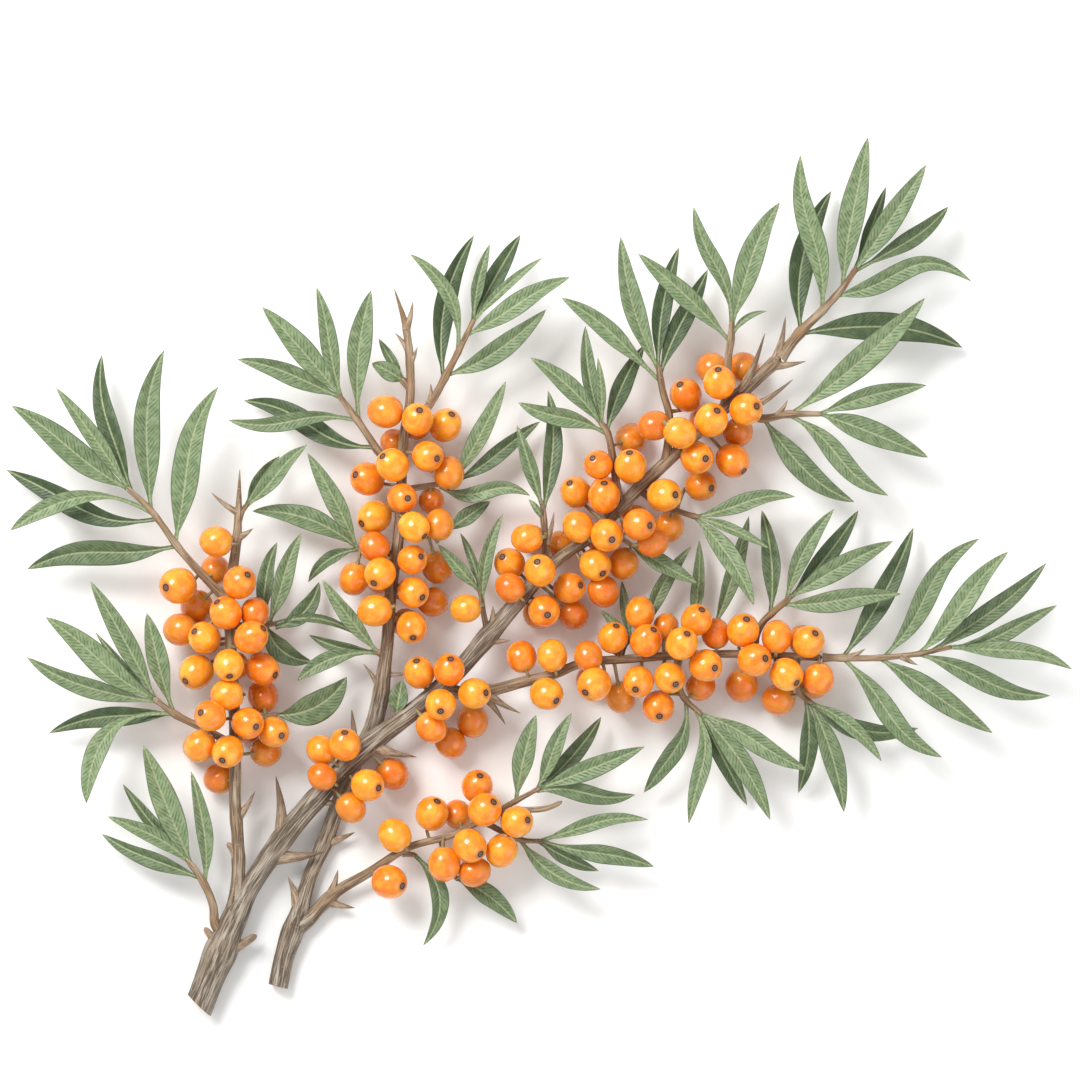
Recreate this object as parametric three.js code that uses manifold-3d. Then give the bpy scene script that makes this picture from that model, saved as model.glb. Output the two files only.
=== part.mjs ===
// A fruiting sea buckthorn sprig lying on a table: two crossed woody stems with side branches and
// thorns, dense bunches of oval berries round the wood, and narrow leaves on short shoots.
// Millimetres, +Z up. X and Y lie in the table, the origin is on the table under the middle of the
// sprig. Every point of wood is [x, y, height, radius]; every other row says what its numbers are.

import * as THREE from "three";
import { mergeVertices } from "three/addons/utils/BufferGeometryUtils.js";
import Module from "manifold-3d";

const wasm = await Module();
wasm.setup();
const { Manifold } = wasm;

// ---------------------------------------------------------------- driving dimensions

const STEM_SIDES = 6; // faces round a woody stem
const TWIG_SIDES = 4; // faces round a twig
const THORN_SIDES = 3; // faces round a thorn, a bud or a berry stalk
const BERRY_SWELL = 1.1; // corner radius of a faceted berry over the round one it stands for
const SHARP = 0.1; // radius given to the point of a thorn
const SHARP_LIMIT = 0.15; // wood thinner than this runs out in a point
const GAP = 0.3; // clear space between two pieces that touch on the real sprig
const NEST = 0.93; // how close two berries press, as a share of their two radii
const LINK_RADIUS = 0.75; // short stalk that ties a lone berry into its bunch
const FUSED_VOLUME = 0.05; // least shared volume of two berries that hold together

const PLAIN_STATIONS = [0, 0.27, 0.68, 1]; // cross-sections along a nearly straight leaf
const BOWED_STATIONS = [0, 0.2, 0.46, 0.78, 1]; // and along a bowed one
const BOWED = 1.4; // bow and sway together from which a leaf counts as bowed
const LEAF_THICKNESS = 1.0; // over the midrib
const LEAF_STALK = 1.1; // width where a leaf leaves its twig
const LEAF_ARCH = 1.4; // rise of the middle of a leaf over its straight run
const LEAF_ROLL = 0.22; // largest turn of a blade about its own midrib, in radians
const TABLE_CLEAR = 0.7; // least height of a leaf's midrib over the table

const LAYER_HEIGHT = [5.2, 9.4, 13]; // where a back, a middle and a front berry start from
const UNDER_SIZE = 0.92; // radius of a berry on the underside, as a share of the one over it
const UNDER_SHARE = 0.27; // berries on the underside, as a share of the others of their bunch
const UNDER_STRAY = 1.6; // how far they may stray sideways

const CLEAR = 1e-6; // slack when two distances are compared
const FIRST_SEED = 11; // seed of the draws of the first bunch; each next bunch counts one up

const BARK = new THREE.MeshStandardMaterial({ color: 0x6e5c4a, roughness: 0.85, metalness: 0 });
const LEAF = new THREE.MeshStandardMaterial({ color: 0x74876a, roughness: 0.6, metalness: 0 });
const BERRY = new THREE.MeshStandardMaterial({ color: 0xee7a12, roughness: 0.3, metalness: 0 });

// ---------------------------------------------------------------- wood

// The thick stem, cut at its lower left end, rising to the upper right.
const MAIN_STEM = [
  [-85.7, -108.6, 3.6, 3.6], [-80.2, -95, 4, 3.5], [-76.5, -86, 4.5, 3], [-73, -78.6, 5, 2.6],
  [-67.3, -69.7, 5.6, 2.5], [-62, -62.5, 6.4, 2.7], [-55, -54.5, 7.4, 2.5],
  [-42.8, -42, 8, 2.5], [-34.5, -35.7, 8.6, 2.4], [-23.4, -26.5, 9.4, 2.2],
  [-11.4, -13.1, 10, 2.15], [-5, -5.7, 10.2, 2], [4.9, 4.7, 10.3, 1.5], [12.4, 9.9, 10.4, 1.5],
  [22.8, 20.2, 10.4, 1.6], [33.7, 30.6, 10.4, 1.6], [40.4, 37, 10.4, 1.6],
  [52.5, 47.9, 10.6, 1.65], [60.4, 55.1, 11, 1.4],
];
// Its left branch, which ends in a thorny tip.
const LEFT_BRANCH = [
  [-76.3, -84.5, 4.6, 1.9], [-75.2, -75, 5.6, 1.7], [-75.3, -65, 7.4, 1.55],
  [-75.9, -55, 9.4, 1.5], [-75.8, -48, 10.2, 1.5], [-76.2, -30, 10.6, 1.45],
  [-77, -15, 10.8, 1.4], [-77.5, -6, 11, 1.35], [-76.4, 2.1, 11.4, 1.3],
  [-75.4, 9.3, 11.8, 1.15], [-75, 15.3, 12.2, 0.95], [-74.6, 27.3, 13.4, SHARP],
];
// Its right branch, which leaves behind the bunch in the fork.
const RIGHT_BRANCH = [
  [-24.6, -27.8, 9.2, 1.7], [-18, -28.8, 9.2, 1.6], [-11.9, -28.1, 9.4, 1.5], [-5, -26.3, 9.6, 1.4],
  [5.3, -23.5, 9.8, 1.25], [9, -21.9, 9.9, 1.15], [22.8, -20.2, 10, 1.1],
  [47.4, -19, 10.2, 1], [71, -19.9, 10.4, 0.9],
];
// The second stem, cut beside the first, which passes under it and ends in a thorny fork.
const SECOND_STEM = [
  [-65.3, -102.5, 2.6, 2.45], [-63.7, -95, 2.6, 2.5], [-61.8, -89, 2.7, 2.65],
  [-60, -84, 2.5, 2.1], [-57.4, -75, 2.3, 1.8], [-53.2, -65.2, 2.3, 1.95],
  [-50.5, -57.7, 2.3, 1.95], [-47, -48, 2.4, 2.1], [-41.7, -37.8, 3.4, 2.2], [-40, -32, 4.8, 2.1],
  [-38.6, -22.9, 7.2, 1.7], [-37.7, -14.9, 8.8, 1.6], [-37.1, -5.5, 10, 1.5],
  [-34.6, 14.5, 10.4, 1.4], [-34.1, 27, 10.6, 1.3], [-33.4, 37, 10.8, 1.2],
  [-32.2, 43.8, 11, 1.15], [-32.2, 54.6, 12, 1], [-33, 62, 12.8, 0.9], [-36.1, 72.6, 13.8, SHARP],
];
// Its lower right branch, which ends in a blunt bare tip.
const LOWER_BRANCH = [
  [-60.6, -87.6, 2.8, 2.1], [-57.5, -85.4, 2.9, 1.85], [-55, -82.8, 3.1, 1.6],
  [-52, -79.8, 3.4, 1.5], [-42.5, -73.8, 5, 1.2],
  [-32.2, -67.3, 7.8, 0.95], [-22.7, -64.6, 10, 0.85], [-8.1, -58.3, 10.4, 0.75],
  [3, -57.2, 11, 0.7], [6, -55.8, 11.4, 0.55],
];

// Thorns and buds, from the middle of the wood to the tip:
// [x, y, height, radius, tip x, tip y, tip height, tip radius]
const MAIN_THORNS = [
  [-64.3, -65, 6, 2, -65.7, -49.3, 9, SHARP], [-66.8, -70, 5.4, 2.1, -53.2, -68.5, 7.2, SHARP],
  [-78.6, -93.6, 4.2, 2.2, -70.5, -89.4, 4.6, 0.75],
  [-80.4, -92.8, 4.2, 1.8, -83.7, -87.5, 4.6, 0.8],
  [-55.5, -55.8, 7.4, 1.4, -51.1, -56.3, 7.6, 0.85],
  [-42.5, -41.8, 8, 1.8, -30.4, -44.8, 9.4, SHARP],
  [-46.6, -45.6, 8.2, 1.6, -46.7, -32.7, 10.4, SHARP],
  [-14, -15.4, 9.9, 1.5, -7, -15.7, 10.6, SHARP],
  [-11.8, -13.4, 10.2, 1.5, -11.4, -6.8, 11.4, SHARP], [59.2, 54.2, 11, 1.3, 61.7, 65.4, 13, SHARP],
  [58.4, 53, 11, 1.3, 66.9, 54.2, 11.6, SHARP], [50.2, 46, 11, 1.3, 56.6, 61.3, 14.4, SHARP],
  [-13, -28.8, 9.4, 1.3, -4.4, -33.9, 9.6, SHARP], [-14.5, -28.6, 9.2, 1.3, -8.2, -36.7, 9, SHARP],
  [-75.5, -60.5, 8.2, 1.3, -70.8, -53.2, 9.6, SHARP],
  [-75.3, -70.2, 6.6, 1.6, -78, -66.2, 7.2, 0.75], [-75.2, 10, 11.8, 1.2, -71.2, 12.5, 12.6, SHARP],
  [-75, 16.2, 12.2, 1, -81.8, 21.4, 13.2, SHARP],
];
const SECOND_THORNS = [
  [-60.2, -83, 2.6, 1.7, -62.8, -74.7, 3.2, SHARP],
  [-54.2, -66.6, 2.4, 1.6, -45.9, -63.7, 3, SHARP],
  [-39.4, -28.4, 5.6, 1, -43.9, -21.4, 6.6, SHARP], [-38.8, -24, 6.8, 0.9, -33.7, -24, 7.6, 0.5],
  [-52.5, -80.2, 3.4, 1.4, -50.2, -72.9, 4.4, SHARP],
  [-53.5, -80.8, 3.4, 1.5, -45.9, -82.7, 3.6, SHARP],
  [-32.6, 57, 12.2, 0.9, -35.9, 61.3, 12.8, SHARP], [-32.2, 53.6, 12, 1, -30.2, 57.8, 12.6, SHARP],
  [-33.1, 62, 12.8, 1.1, -31.3, 69.2, 13.4, SHARP],
];

// ---------------------------------------------------------------- leafy shoots

// Each shoot is a twig, from the middle of the wood outwards, with its leaves fused on:
// [root x, root y, tip x, tip y, width, bow, sway, lift, fullest]. Bow is the sideways offset of the
// midrib at half length, to the left on the way to the tip; sway adds an S to it; lift is the height
// of the tip over the root; fullest is the share of its length at which the leaf is widest, where
// that isn't FULLEST. Leaves behind their neighbours drop and those in front rise.
const SHOOTS = {
  leafy_shoot_left_top: {
    twig: [
      [-77.5, -6, 11, 1.1], [-85.3, 2.2, 11.6, 1], [-90.6, 8.4, 12.2, 0.9],
      [-94.2, 13.5, 12.6, 0.8], [-97, 17.1, 13, 0.75], [-103, 22.7, 13.6, 0.6],
    ],
    leaves: [
      [-102.6, 22.3, -131.6, 43.1, 6.8, 0.2, 0.5, 1.5, 0.43],
      [-102.6, 22.5, -120.3, 47.5, 4.3, -0.5, 0, 5], [-101.8, 22, -109.3, 56, 5.4, 2.1, -0.6, -8],
      [-96.8, 17.2, -93.5, 56.9, 6.9, 2.7, -0.5, 1.5],
      [-90.6, 9.6, -79.9, 47.8, 7.2, 2.4, -0.8, 3, 0.43],
      [-95, 14.8, -133.3, 27.1, 5.8, 3.5, 1.1, -9, 0.52],
      [-95.6, 15.6, -131.8, 11.8, 4.6, -6.5, -0.4, 4, 0.66],
      [-90.2, 8, -127.9, 2.2, 6.6, -1.3, 1, -4, 0.5],
    ],
  },
  leafy_shoot_left_tip: {
    twig: [[-75, 14.2, 12.1, 0.7], [-73.6, 17.3, 12.4, 0.6], [-72.5, 18.7, 12.6, 0.5]],
    leaves: [[-73, 18, -57.8, 33.2, 4.5, 0.2, -0.4, 2], [-73, 18, -64.8, 30.5, 3.6, 0.6, 0, -7]],
  },
  leafy_shoot_left_middle: {
    twig: [
      [-75.8, -42, 10.4, 1], [-84, -37.5, 10.4, 0.95], [-90.4, -34.3, 11.2, 0.85],
      [-96.4, -29.9, 12, 0.6],
    ],
    leaves: [
      [-95.4, -30.8, -127.9, -19.7, 5, 2.2, -0.2, 1, 0.48],
      [-96, -30.2, -123, -9.7, 6.6, 0.5, 0.6, 4.5], [-96.2, -30, -111, -13.5, 2.3, 0.5, 0, -7],
      [-95.8, -30.2, -111.9, -0.8, 5.3, -0.4, 0, 2],
      [-91.4, -33, -97.8, -8.7, 5.4, 0.4, 0.1, 3, 0.52],
      [-90.6, -33.9, -122.6, -38.9, 5.2, -1.8, 0.4, -7],
      [-90.4, -34, -112.8, -56.2, 5.4, -8.6, -0.5, 5, 0.66],
    ],
  },
  leafy_shoot_left_low: {
    twig: [
      [-78, -90, 4.6, 1.3], [-80.8, -87, 5.4, 1.2], [-81.4, -82.3, 6.4, 1.05],
      [-84.6, -74.8, 8, 0.85], [-88.4, -69.8, 9, 0.55],
    ],
    leaves: [
      [-84.4, -75.2, -109.4, -64.1, 4.4, 0.7, -0.3, -3],
      [-86.4, -72.4, -107.7, -59.6, 4.2, -1.8, -0.3, 3.5],
      [-88, -70.2, -104.1, -51.6, 3.5, 0.8, 0, -4], [-86.8, -71.8, -98.7, -41.7, 6.8, 0.2, 0, 5],
      [-83.6, -76.6, -86.9, -48.3, 4.2, -1.5, -0.2, 2],
    ],
  },
  leafy_shoot_left_inner: {
    twig: [[-77, -12, 10.8, 0.9], [-72, -11.8, 9, 0.8], [-65.4, -11.4, 9, 0.6]],
    leaves: [
      [-69.6, -11.6, -65.4, 9, 4.2, 0.8, -0.3, -4], [-67.4, -11.4, -59.2, 11.3, 4.8, 0.4, -0.3, 3],
      [-65.8, -12.4, -55, -1, 4.7, -2.5, 0, -5], [-65.8, -11.4, -45.2, -14.5, 2.3, 2.8, 0, -4],
      [-68, -12, -56.8, -20.9, 5.5, -2.5, 0, -4, 0.42],
    ],
  },
  leafy_shoot_left_single: {
    twig: [[-76, -36, 10.4, 0.9], [-70, -35, 8.6, 0.8], [-65, -34, 8.6, 0.6]],
    leaves: [[-66, -34.2, -48, -24.8, 8, -3.1, 0, -2]],
  },
  leafy_shoot_middle_left: {
    twig: [
      [-34.1, 26, 10.6, 1], [-40, 31.6, 11.4, 1], [-42.9, 36, 12, 0.9],
      [-48, 43.2, 13, 0.75], [-50, 45.8, 13.4, 0.55],
    ],
    leaves: [
      [-49.4, 45, -75.2, 54.6, 5.2, -1.1, 0.2, 0], [-49.6, 45.4, -68.9, 67.6, 6.1, -0.4, 0, 5],
      [-49.4, 45.4, -55.4, 72.6, 4.5, -0.1, 0.3, 2], [-45, 40, -41.8, 71.8, 6.1, 1.5, 0, 4, 0.54],
      [-40.2, 32.6, -73.9, 44.4, 5.7, 0.5, 1.5, -8.5, 0.52],
      [-45.4, 39.4, -77.6, 39.5, 4.3, 0.2, -1.1, 0, 0.52],
    ],
  },
  leafy_shoot_middle_tip: {
    twig: [[-32.2, 47.5, 11.2, 0.8], [-34.8, 50.4, 11.4, 0.7]],
    leaves: [[-33.8, 49.4, -40, 59.9, 2.6, 0, 0, -3], [-33.4, 49, -41.6, 53.6, 4.7, -0.3, 0, 1.5]],
  },
  leafy_shoot_middle_right: {
    twig: [
      [-33.2, 39, 10.9, 1], [-28.6, 41.6, 10.8, 1], [-26.4, 44.6, 11.6, 1],
      [-23.1, 50.6, 12.6, 0.9], [-19.9, 56.8, 13.6, 0.8], [-16, 64.9, 14.4, 0.55],
    ],
    leaves: [
      [-20.2, 56.4, -32.1, 80.8, 3.8, -4.3, -0.1, 5, 0.54],
      [-23.7, 50, -16.1, 85.9, 5.5, 3.5, 0, -9], [-16.3, 64.4, -12.1, 83.4, 3.2, 0.8, 0, 1],
      [-16.2, 64.6, -4.5, 85.9, 4.8, 0.3, 0, -8], [-16.4, 64, 1, 79.9, 2.5, 0.9, 0, 3],
      [-18, 60.6, 7.8, 75, 5.5, 0.5, -0.4, 4], [-23.2, 50.6, 1.9, 67, 5.7, -1.9, -0.2, 2],
    ],
    thorns: [[-27.2, 43.6, 11.4, 1, -26.9, 48.6, 12.4, SHARP]],
  },
  leafy_shoot_middle_inner: {
    twig: [[-34.3, 22, 10.5, 0.8], [-28, 23, 8.4, 0.75], [-20.6, 24.2, 8.2, 0.55]],
    leaves: [
      [-21.4, 24.2, -8.1, 49.2, 4.8, -0.6, 0, 4], [-21, 24, 0.4, 39.2, 4.3, -0.5, -0.3, -4],
      [-24.6, 22.9, -2.1, 20.6, 4.2, -0.1, -1.5, 3],
    ],
  },
  leafy_shoot_middle_dark: {
    twig: [[-34.9, 11, 10.3, 0.8], [-28.4, 10.4, 7.6, 0.7], [-22.4, 12, 7.2, 0.5]],
    leaves: [[-23, 11.8, -12.1, 19.2, 4.3, 0, 0, -2]],
  },
  leafy_shoot_middle_outer: {
    twig: [[-35.8, 6, 10.3, 0.8], [-41, 6.5, 8.2, 0.7], [-46, 7.6, 8.4, 0.55]],
    leaves: [
      [-45.4, 7.4, -57.7, 31.2, 5, -0.6, 0, 4], [-45.4, 7.6, -71.6, 16.7, 5.8, -2.8, 0, 1],
      [-45.2, 7.2, -57.7, -1.1, 3.4, -1.9, 0, -4],
    ],
  },
  leafy_shoot_middle_low: {
    twig: [[-38.2, -19.6, 7.9, 0.8], [-41.2, -18, 8.4, 0.55]],
    leaves: [
      [-40.2, -18.6, -54, -0.4, 4.2, 0.4, 0, 5], [-40.4, -18.4, -57.5, -14.3, 3.3, 1.2, 0, -5],
      [-40.2, -18.8, -60.3, -25.7, 4.3, -2.5, 0, 1, 0.58],
    ],
  },
  leaf_in_fork: {
    twig: [[-35.4, -36.4, 8.6, 0.7], [-35.8, -33.4, 8.6, 0.6]],
    leaves: [[-35.7, -34.4, -34.2, -25.6, 5, 0, 0, -0.5]],
  },
  leafy_shoot_fork: {
    twig: [[-12.6, -14.2, 9.9, 0.8], [-13.6, -9.5, 10.8, 0.7], [-14.8, -2.2, 11.6, 0.5]],
    leaves: [
      [-14.6, -3.4, -25.1, 8.4, 3.4, 0, 0, 2.5], [-14.7, -2.8, -19.6, 11.3, 2.3, -0.7, 0, -3],
      [-13.9, -7, -8.8, 16.1, 3.5, 1.8, 0, 3],
    ],
  },
  leafy_shoot_centre: {
    twig: [
      [1.5, 1.2, 10.3, 1.1], [1.9, 6.7, 11.4, 1], [1.5, 12, 12, 0.9], [1, 19, 12.6, 0.55],
    ],
    leaves: [
      [1, 17.8, -5.4, 38.3, 3.7, 0, 0, -1], [1.1, 16.4, 2.4, 46.9, 4.8, -1.8, 0.2, -6],
      [1.2, 14.4, -2.5, 19.7, 1.7, -0.3, 0, 1],
    ],
    thorns: [[1.9, 8.6, 11.6, 1, 3.9, 16.6, 13, SHARP]],
  },
  leafy_shoot_upper_left: {
    twig: [
      [20.4, 17.8, 10.4, 1.1], [19.4, 24, 11.2, 1], [18.4, 31, 12, 0.95], [17.1, 36.5, 12.8, 0.8],
      [15.4, 39.2, 13.2, 0.6],
    ],
    leaves: [
      [16.6, 36.3, -5.1, 43.8, 4.8, -0.1, -0.5, 3.5, 0.5], [15.8, 38.2, -2, 55, 5, -1.3, 0, 2],
      [15.5, 38.8, 11.7, 63, 4, 1, 0, -1], [15.7, 38.4, 14.8, 55, 2.4, -0.4, 0, 4],
      [17, 36.4, 26.6, 58.3, 4.9, 1.1, 0, -8],
    ],
  },
  leafy_shoot_upper_middle: {
    twig: [
      [31.8, 28.8, 10.4, 1.1], [32.4, 34, 11.4, 1], [32.8, 39.7, 12.2, 0.95],
      [30.9, 47.3, 13, 0.85], [29.9, 53.4, 13.6, 0.6],
    ],
    leaves: [
      [30.5, 49, 5.7, 69.9, 5, -1.3, 0.3, 3.5, 0.56], [30, 52, 20.5, 85.2, 5.5, 1.8, 0, 4],
      [29.9, 52.8, 35.2, 82.8, 4.8, 1.5, 0, -9], [30.3, 50.6, 42.4, 77.3, 5.1, 0.5, 0.3, -9],
    ],
  },
  leafy_shoot_upper_right: {
    twig: [
      [46.4, 42.4, 10.5, 1], [47.2, 50, 11.4, 1], [47.4, 54.9, 12.2, 0.95], [48.1, 60, 13, 0.85],
      [48.3, 64.4, 13.6, 0.6],
    ],
    leaves: [
      [47.9, 59, 24.8, 81, 5.2, -0.6, -0.1, 4, 0.5],
      [48.2, 63.6, 38.7, 92.6, 4.3, -0.6, -1, 3, 0.52], [48.4, 63.6, 60.2, 93.7, 6.5, 1.5, -0.3, 3],
      [48.2, 60.4, 57.1, 66.6, 1.7, 1.6, 0, 1],
    ],
  },
  leafy_shoot_crown: {
    twig: [
      [60.4, 55.1, 11, 1.35], [65.8, 61.8, 11.6, 1.2], [71.3, 67.2, 12.2, 1],
      [76.1, 72.7, 12.8, 0.8], [79.6, 77.8, 13.2, 0.6],
    ],
    leaves: [
      [70.9, 67.2, 65.3, 105.5, 5.9, 0.1, -1.1, 6], [65.6, 61.4, 73.4, 97, 6.3, 3.5, 0, -9],
      [76, 73, 82.2, 110, 6.6, 0.6, 0.2, 3], [79.2, 77.4, 87, 98, 3.3, -0.2, 0, -8],
      [78.8, 76.6, 96.7, 103.1, 5.8, -0.3, 0, 3],
      [79.2, 76.8, 102.5, 92.9, 4.6, -1.4, 0.3, -5, 0.55],
      [74.2, 70.4, 108.1, 74, 5.2, 4.4, -2.1, 2, 0.4], [65.6, 61, 106.2, 57.7, 7.4, 3.5, -0.3, -8],
    ],
  },
  leafy_shoot_right_top: {
    twig: [
      [49, 44.6, 10.5, 1], [54.9, 40, 10.4, 1], [62.2, 40.9, 11.4, 0.9], [71, 41, 12.4, 0.6],
    ],
    leaves: [
      [63, 41, 96.4, 69.9, 7, -1.4, 0, 5.5, 0.5], [70.4, 41, 96.8, 48.1, 5.1, 1.1, 0, 2],
      [70.4, 41, 97.3, 30.1, 6.3, 0.4, 0, 1, 0.42],
      [62.6, 40.8, 87.3, 20.6, 5.3, -0.3, 1.1, 2, 0.5], [56.2, 40, 79, 19, 6, -2.5, 0.3, -1],
    ],
    thorns: [
      [52.4, 42.1, 10.6, 1.2, 63.7, 49.7, 12, SHARP], [59.6, 40.4, 11, 1, 62.3, 44.6, 12, SHARP],
    ],
  },
  leafy_shoot_right_inner: {
    twig: [
      [25, 22.3, 10.4, 0.9], [30, 18.5, 8.8, 0.8], [35.4, 16.5, 9.6, 0.75], [40.4, 15, 10.4, 0.55],
    ],
    leaves: [
      [39.4, 15.3, 64.1, 20.3, 4.5, 1.1, -0.6, 2], [39, 15.4, 57.6, 7.4, 2.8, 0.7, 0, 2.6],
      [38.8, 15.5, 53.8, -6.8, 5.4, 1.6, 0, 4.5],
    ],
  },
  leafy_shoot_centre_single: {
    twig: [[15.6, 12.8, 10.4, 0.8], [20, 10.4, 9.6, 0.7], [23.4, 8.2, 9.8, 0.55]],
    leaves: [[22.4, 8.8, 39.7, -1.3, 4.6, -0.3, 0, 2]],
  },
  leafy_shoot_behind: {
    twig: [
      [20, -20.5, 10, 0.9], [22.6, -15.4, 5.6, 0.85], [28, -13.6, 3.8, 0.8], [38, -13.8, 3.5, 0.7],
      [44.4, -12.6, 3.8, 0.55],
    ],
    leaves: [
      [22.6, -15.4, 15.8, -8.2, 2.6, 0, 0, 0], [23, -15.2, 20.8, -0.7, 2.8, 0, 0, -1],
      [26.6, -14, 38.3, 7.9, 4, 1.7, 0, 1], [38, -13.8, 40.2, 9.6, 3.4, -0.9, 0, 1],
      [44, -12.6, 52.7, 15.5, 4.4, -0.5, 0, 1.4],
    ],
  },
  leafy_shoot_right_middle: {
    twig: [
      [54, -19.3, 10.2, 1], [54.6, -14, 8.8, 0.95], [56, -11.2, 9.2, 0.9], [58.6, -8.6, 10.2, 0.85],
      [63.2, -4.6, 11.4, 0.6],
    ],
    leaves: [
      [58, -8.6, 55.9, 17, 4.7, -1.3, 0, -6], [62, -5.5, 73.8, 17.2, 4.5, 1.8, 0, 3],
      [62.9, -4.8, 80.1, 16.9, 5, -0.8, 0, -7], [62.6, -5.1, 88.5, 9.2, 5.5, 0.7, 0, 2],
      [60.6, -6.6, 90.5, -4, 5.6, -0.2, -0.4, 3],
    ],
  },
  leafy_shoot_right_end: {
    twig: [
      [71, -19.9, 10.4, 0.9], [86.1, -19.9, 11, 0.75], [94.5, -19, 11.6, 0.65],
      [103.4, -17.2, 12.2, 0.5],
    ],
    leaves: [
      [76, -19.9, 93.9, 12.6, 5.8, -1.4, 0, -7], [86.4, -19.8, 110.1, 9.9, 5.7, 1.7, -1.4, 3],
      [95, -18.9, 117.2, 6.6, 5.8, 0.1, -0.7, 5], [98.3, -18.2, 127, 3.7, 5.2, -1.2, 0.2, -3],
      [102.6, -17.3, 129.5, -6.8, 4.3, -1.6, -0.5, 1],
      [102.6, -17.3, 133.2, -22.8, 4.5, 2, -0.5, 3], [95, -19, 127.9, -29.4, 5.4, -1.3, 0.9, 0],
      [85, -19.9, 113.4, -38.7, 6, 0, 0.2, 1],
      [76, -19.9, 100.8, -44.8, 5.5, -1.7, 1.1, 2, 0.5],
    ],
    thorns: [
      [77.4, -19.9, 10.7, 1, 81.8, -17.6, 11.2, SHARP],
      [90.6, -19.4, 11.4, 1, 94.9, -21.8, 11.8, SHARP],
    ],
  },
  leafy_shoot_right_low: {
    twig: [
      [64.5, -19.7, 10.3, 0.9], [64.6, -25, 8.4, 0.8], [65.6, -29, 8.2, 0.75],
      [68.8, -31.6, 8.6, 0.55],
    ],
    leaves: [
      [68.2, -31.3, 85.7, -45.8, 3.8, 1.9, 0, 3], [68.2, -31.3, 95.2, -37.6, 5, -3.7, 0, -5],
      [68, -31.2, 76.4, -58.6, 5.5, 1.3, 0, 0], [66.8, -30.2, 65.1, -53.9, 4.6, 1.6, 0, -5],
    ],
  },
  leafy_shoot_right_hanging: {
    twig: [[35, -19.6, 10.1, 0.9], [34.8, -24, 8, 0.85], [35.8, -29, 8, 0.8], [41, -34.4, 8.8, 0.55]],
    leaves: [
      [36.8, -30.2, 26.4, -53.7, 4.8, 2.7, 0.7, -2, 0.55],
      [39, -32.4, 37.5, -61.4, 4.3, 2.7, 0.9, 3, 0.5], [40.4, -33.9, 52.3, -57, 4.3, 0, 0, -6],
      [40.4, -33.9, 57.9, -60.5, 5.5, 1.9, 0, 2], [40.6, -34, 67.3, -48, 5.3, 0.3, 0.5, 3.5, 0.5],
    ],
  },
  leafy_shoot_lower_right: {
    twig: [
      [-12, -60, 9.8, 0.8], [-8.2, -57.2, 10.2, 0.75], [-5.4, -55.6, 10.6, 0.7],
      [0.6, -52.3, 11.4, 0.5],
    ],
    leaves: [
      [-5.6, -55.7, -0.6, -34.2, 5.4, 0.6, 0, 2, 0.5], [-0.2, -52.7, 8.3, -33.7, 4.3, 0.4, -0.2, 3],
      [0.2, -52.5, 15.7, -34.8, 4.5, -1, 0, -7], [0.2, -52.5, 26.5, -42.1, 5.2, -0.2, 0, 2],
      [-0.4, -53.2, 24.2, -54.2, 4.8, -0.1, 0.8, -2],
    ],
  },
  leafy_shoot_lower_end: {
    twig: [
      [-13.6, -60.9, 9.8, 0.8], [-9, -63.5, 7.6, 0.75], [-4.8, -65.4, 7.8, 0.7],
      [1.4, -65.9, 8.4, 0.5],
    ],
    leaves: [
      [0.6, -65.8, 27.5, -60.4, 3.8, 1.8, -0.4, 3],
      [0.6, -65.8, 28.9, -72.2, 4.8, 0.2, -0.4, 0, 0.55], [0, -65.8, 15.1, -73.4, 3.6, -0.6, 0, -5],
      [-4.6, -65.4, 15.6, -77.8, 4.4, -2.9, 0, 2],
    ],
  },
  leafy_shoot_lower_curl: {
    twig: [[-34, -68.9, 7, 0.7], [-30.2, -69.4, 7, 0.5]],
    leaves: [[-31.2, -69.2, -28.9, -92.1, 4.5, 5.4, 0, -2]],
  },
  leafy_shoot_lower_left: {
    twig: [[-24.4, -65.2, 9.1, 0.7], [-23.4, -70, 5.6, 0.65], [-20.2, -76, 4.8, 0.5]],
    leaves: [[-20.9, -75, -5.4, -86.4, 5.2, 1.3, 0, 0]],
  },
};

// ---------------------------------------------------------------- berries

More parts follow.
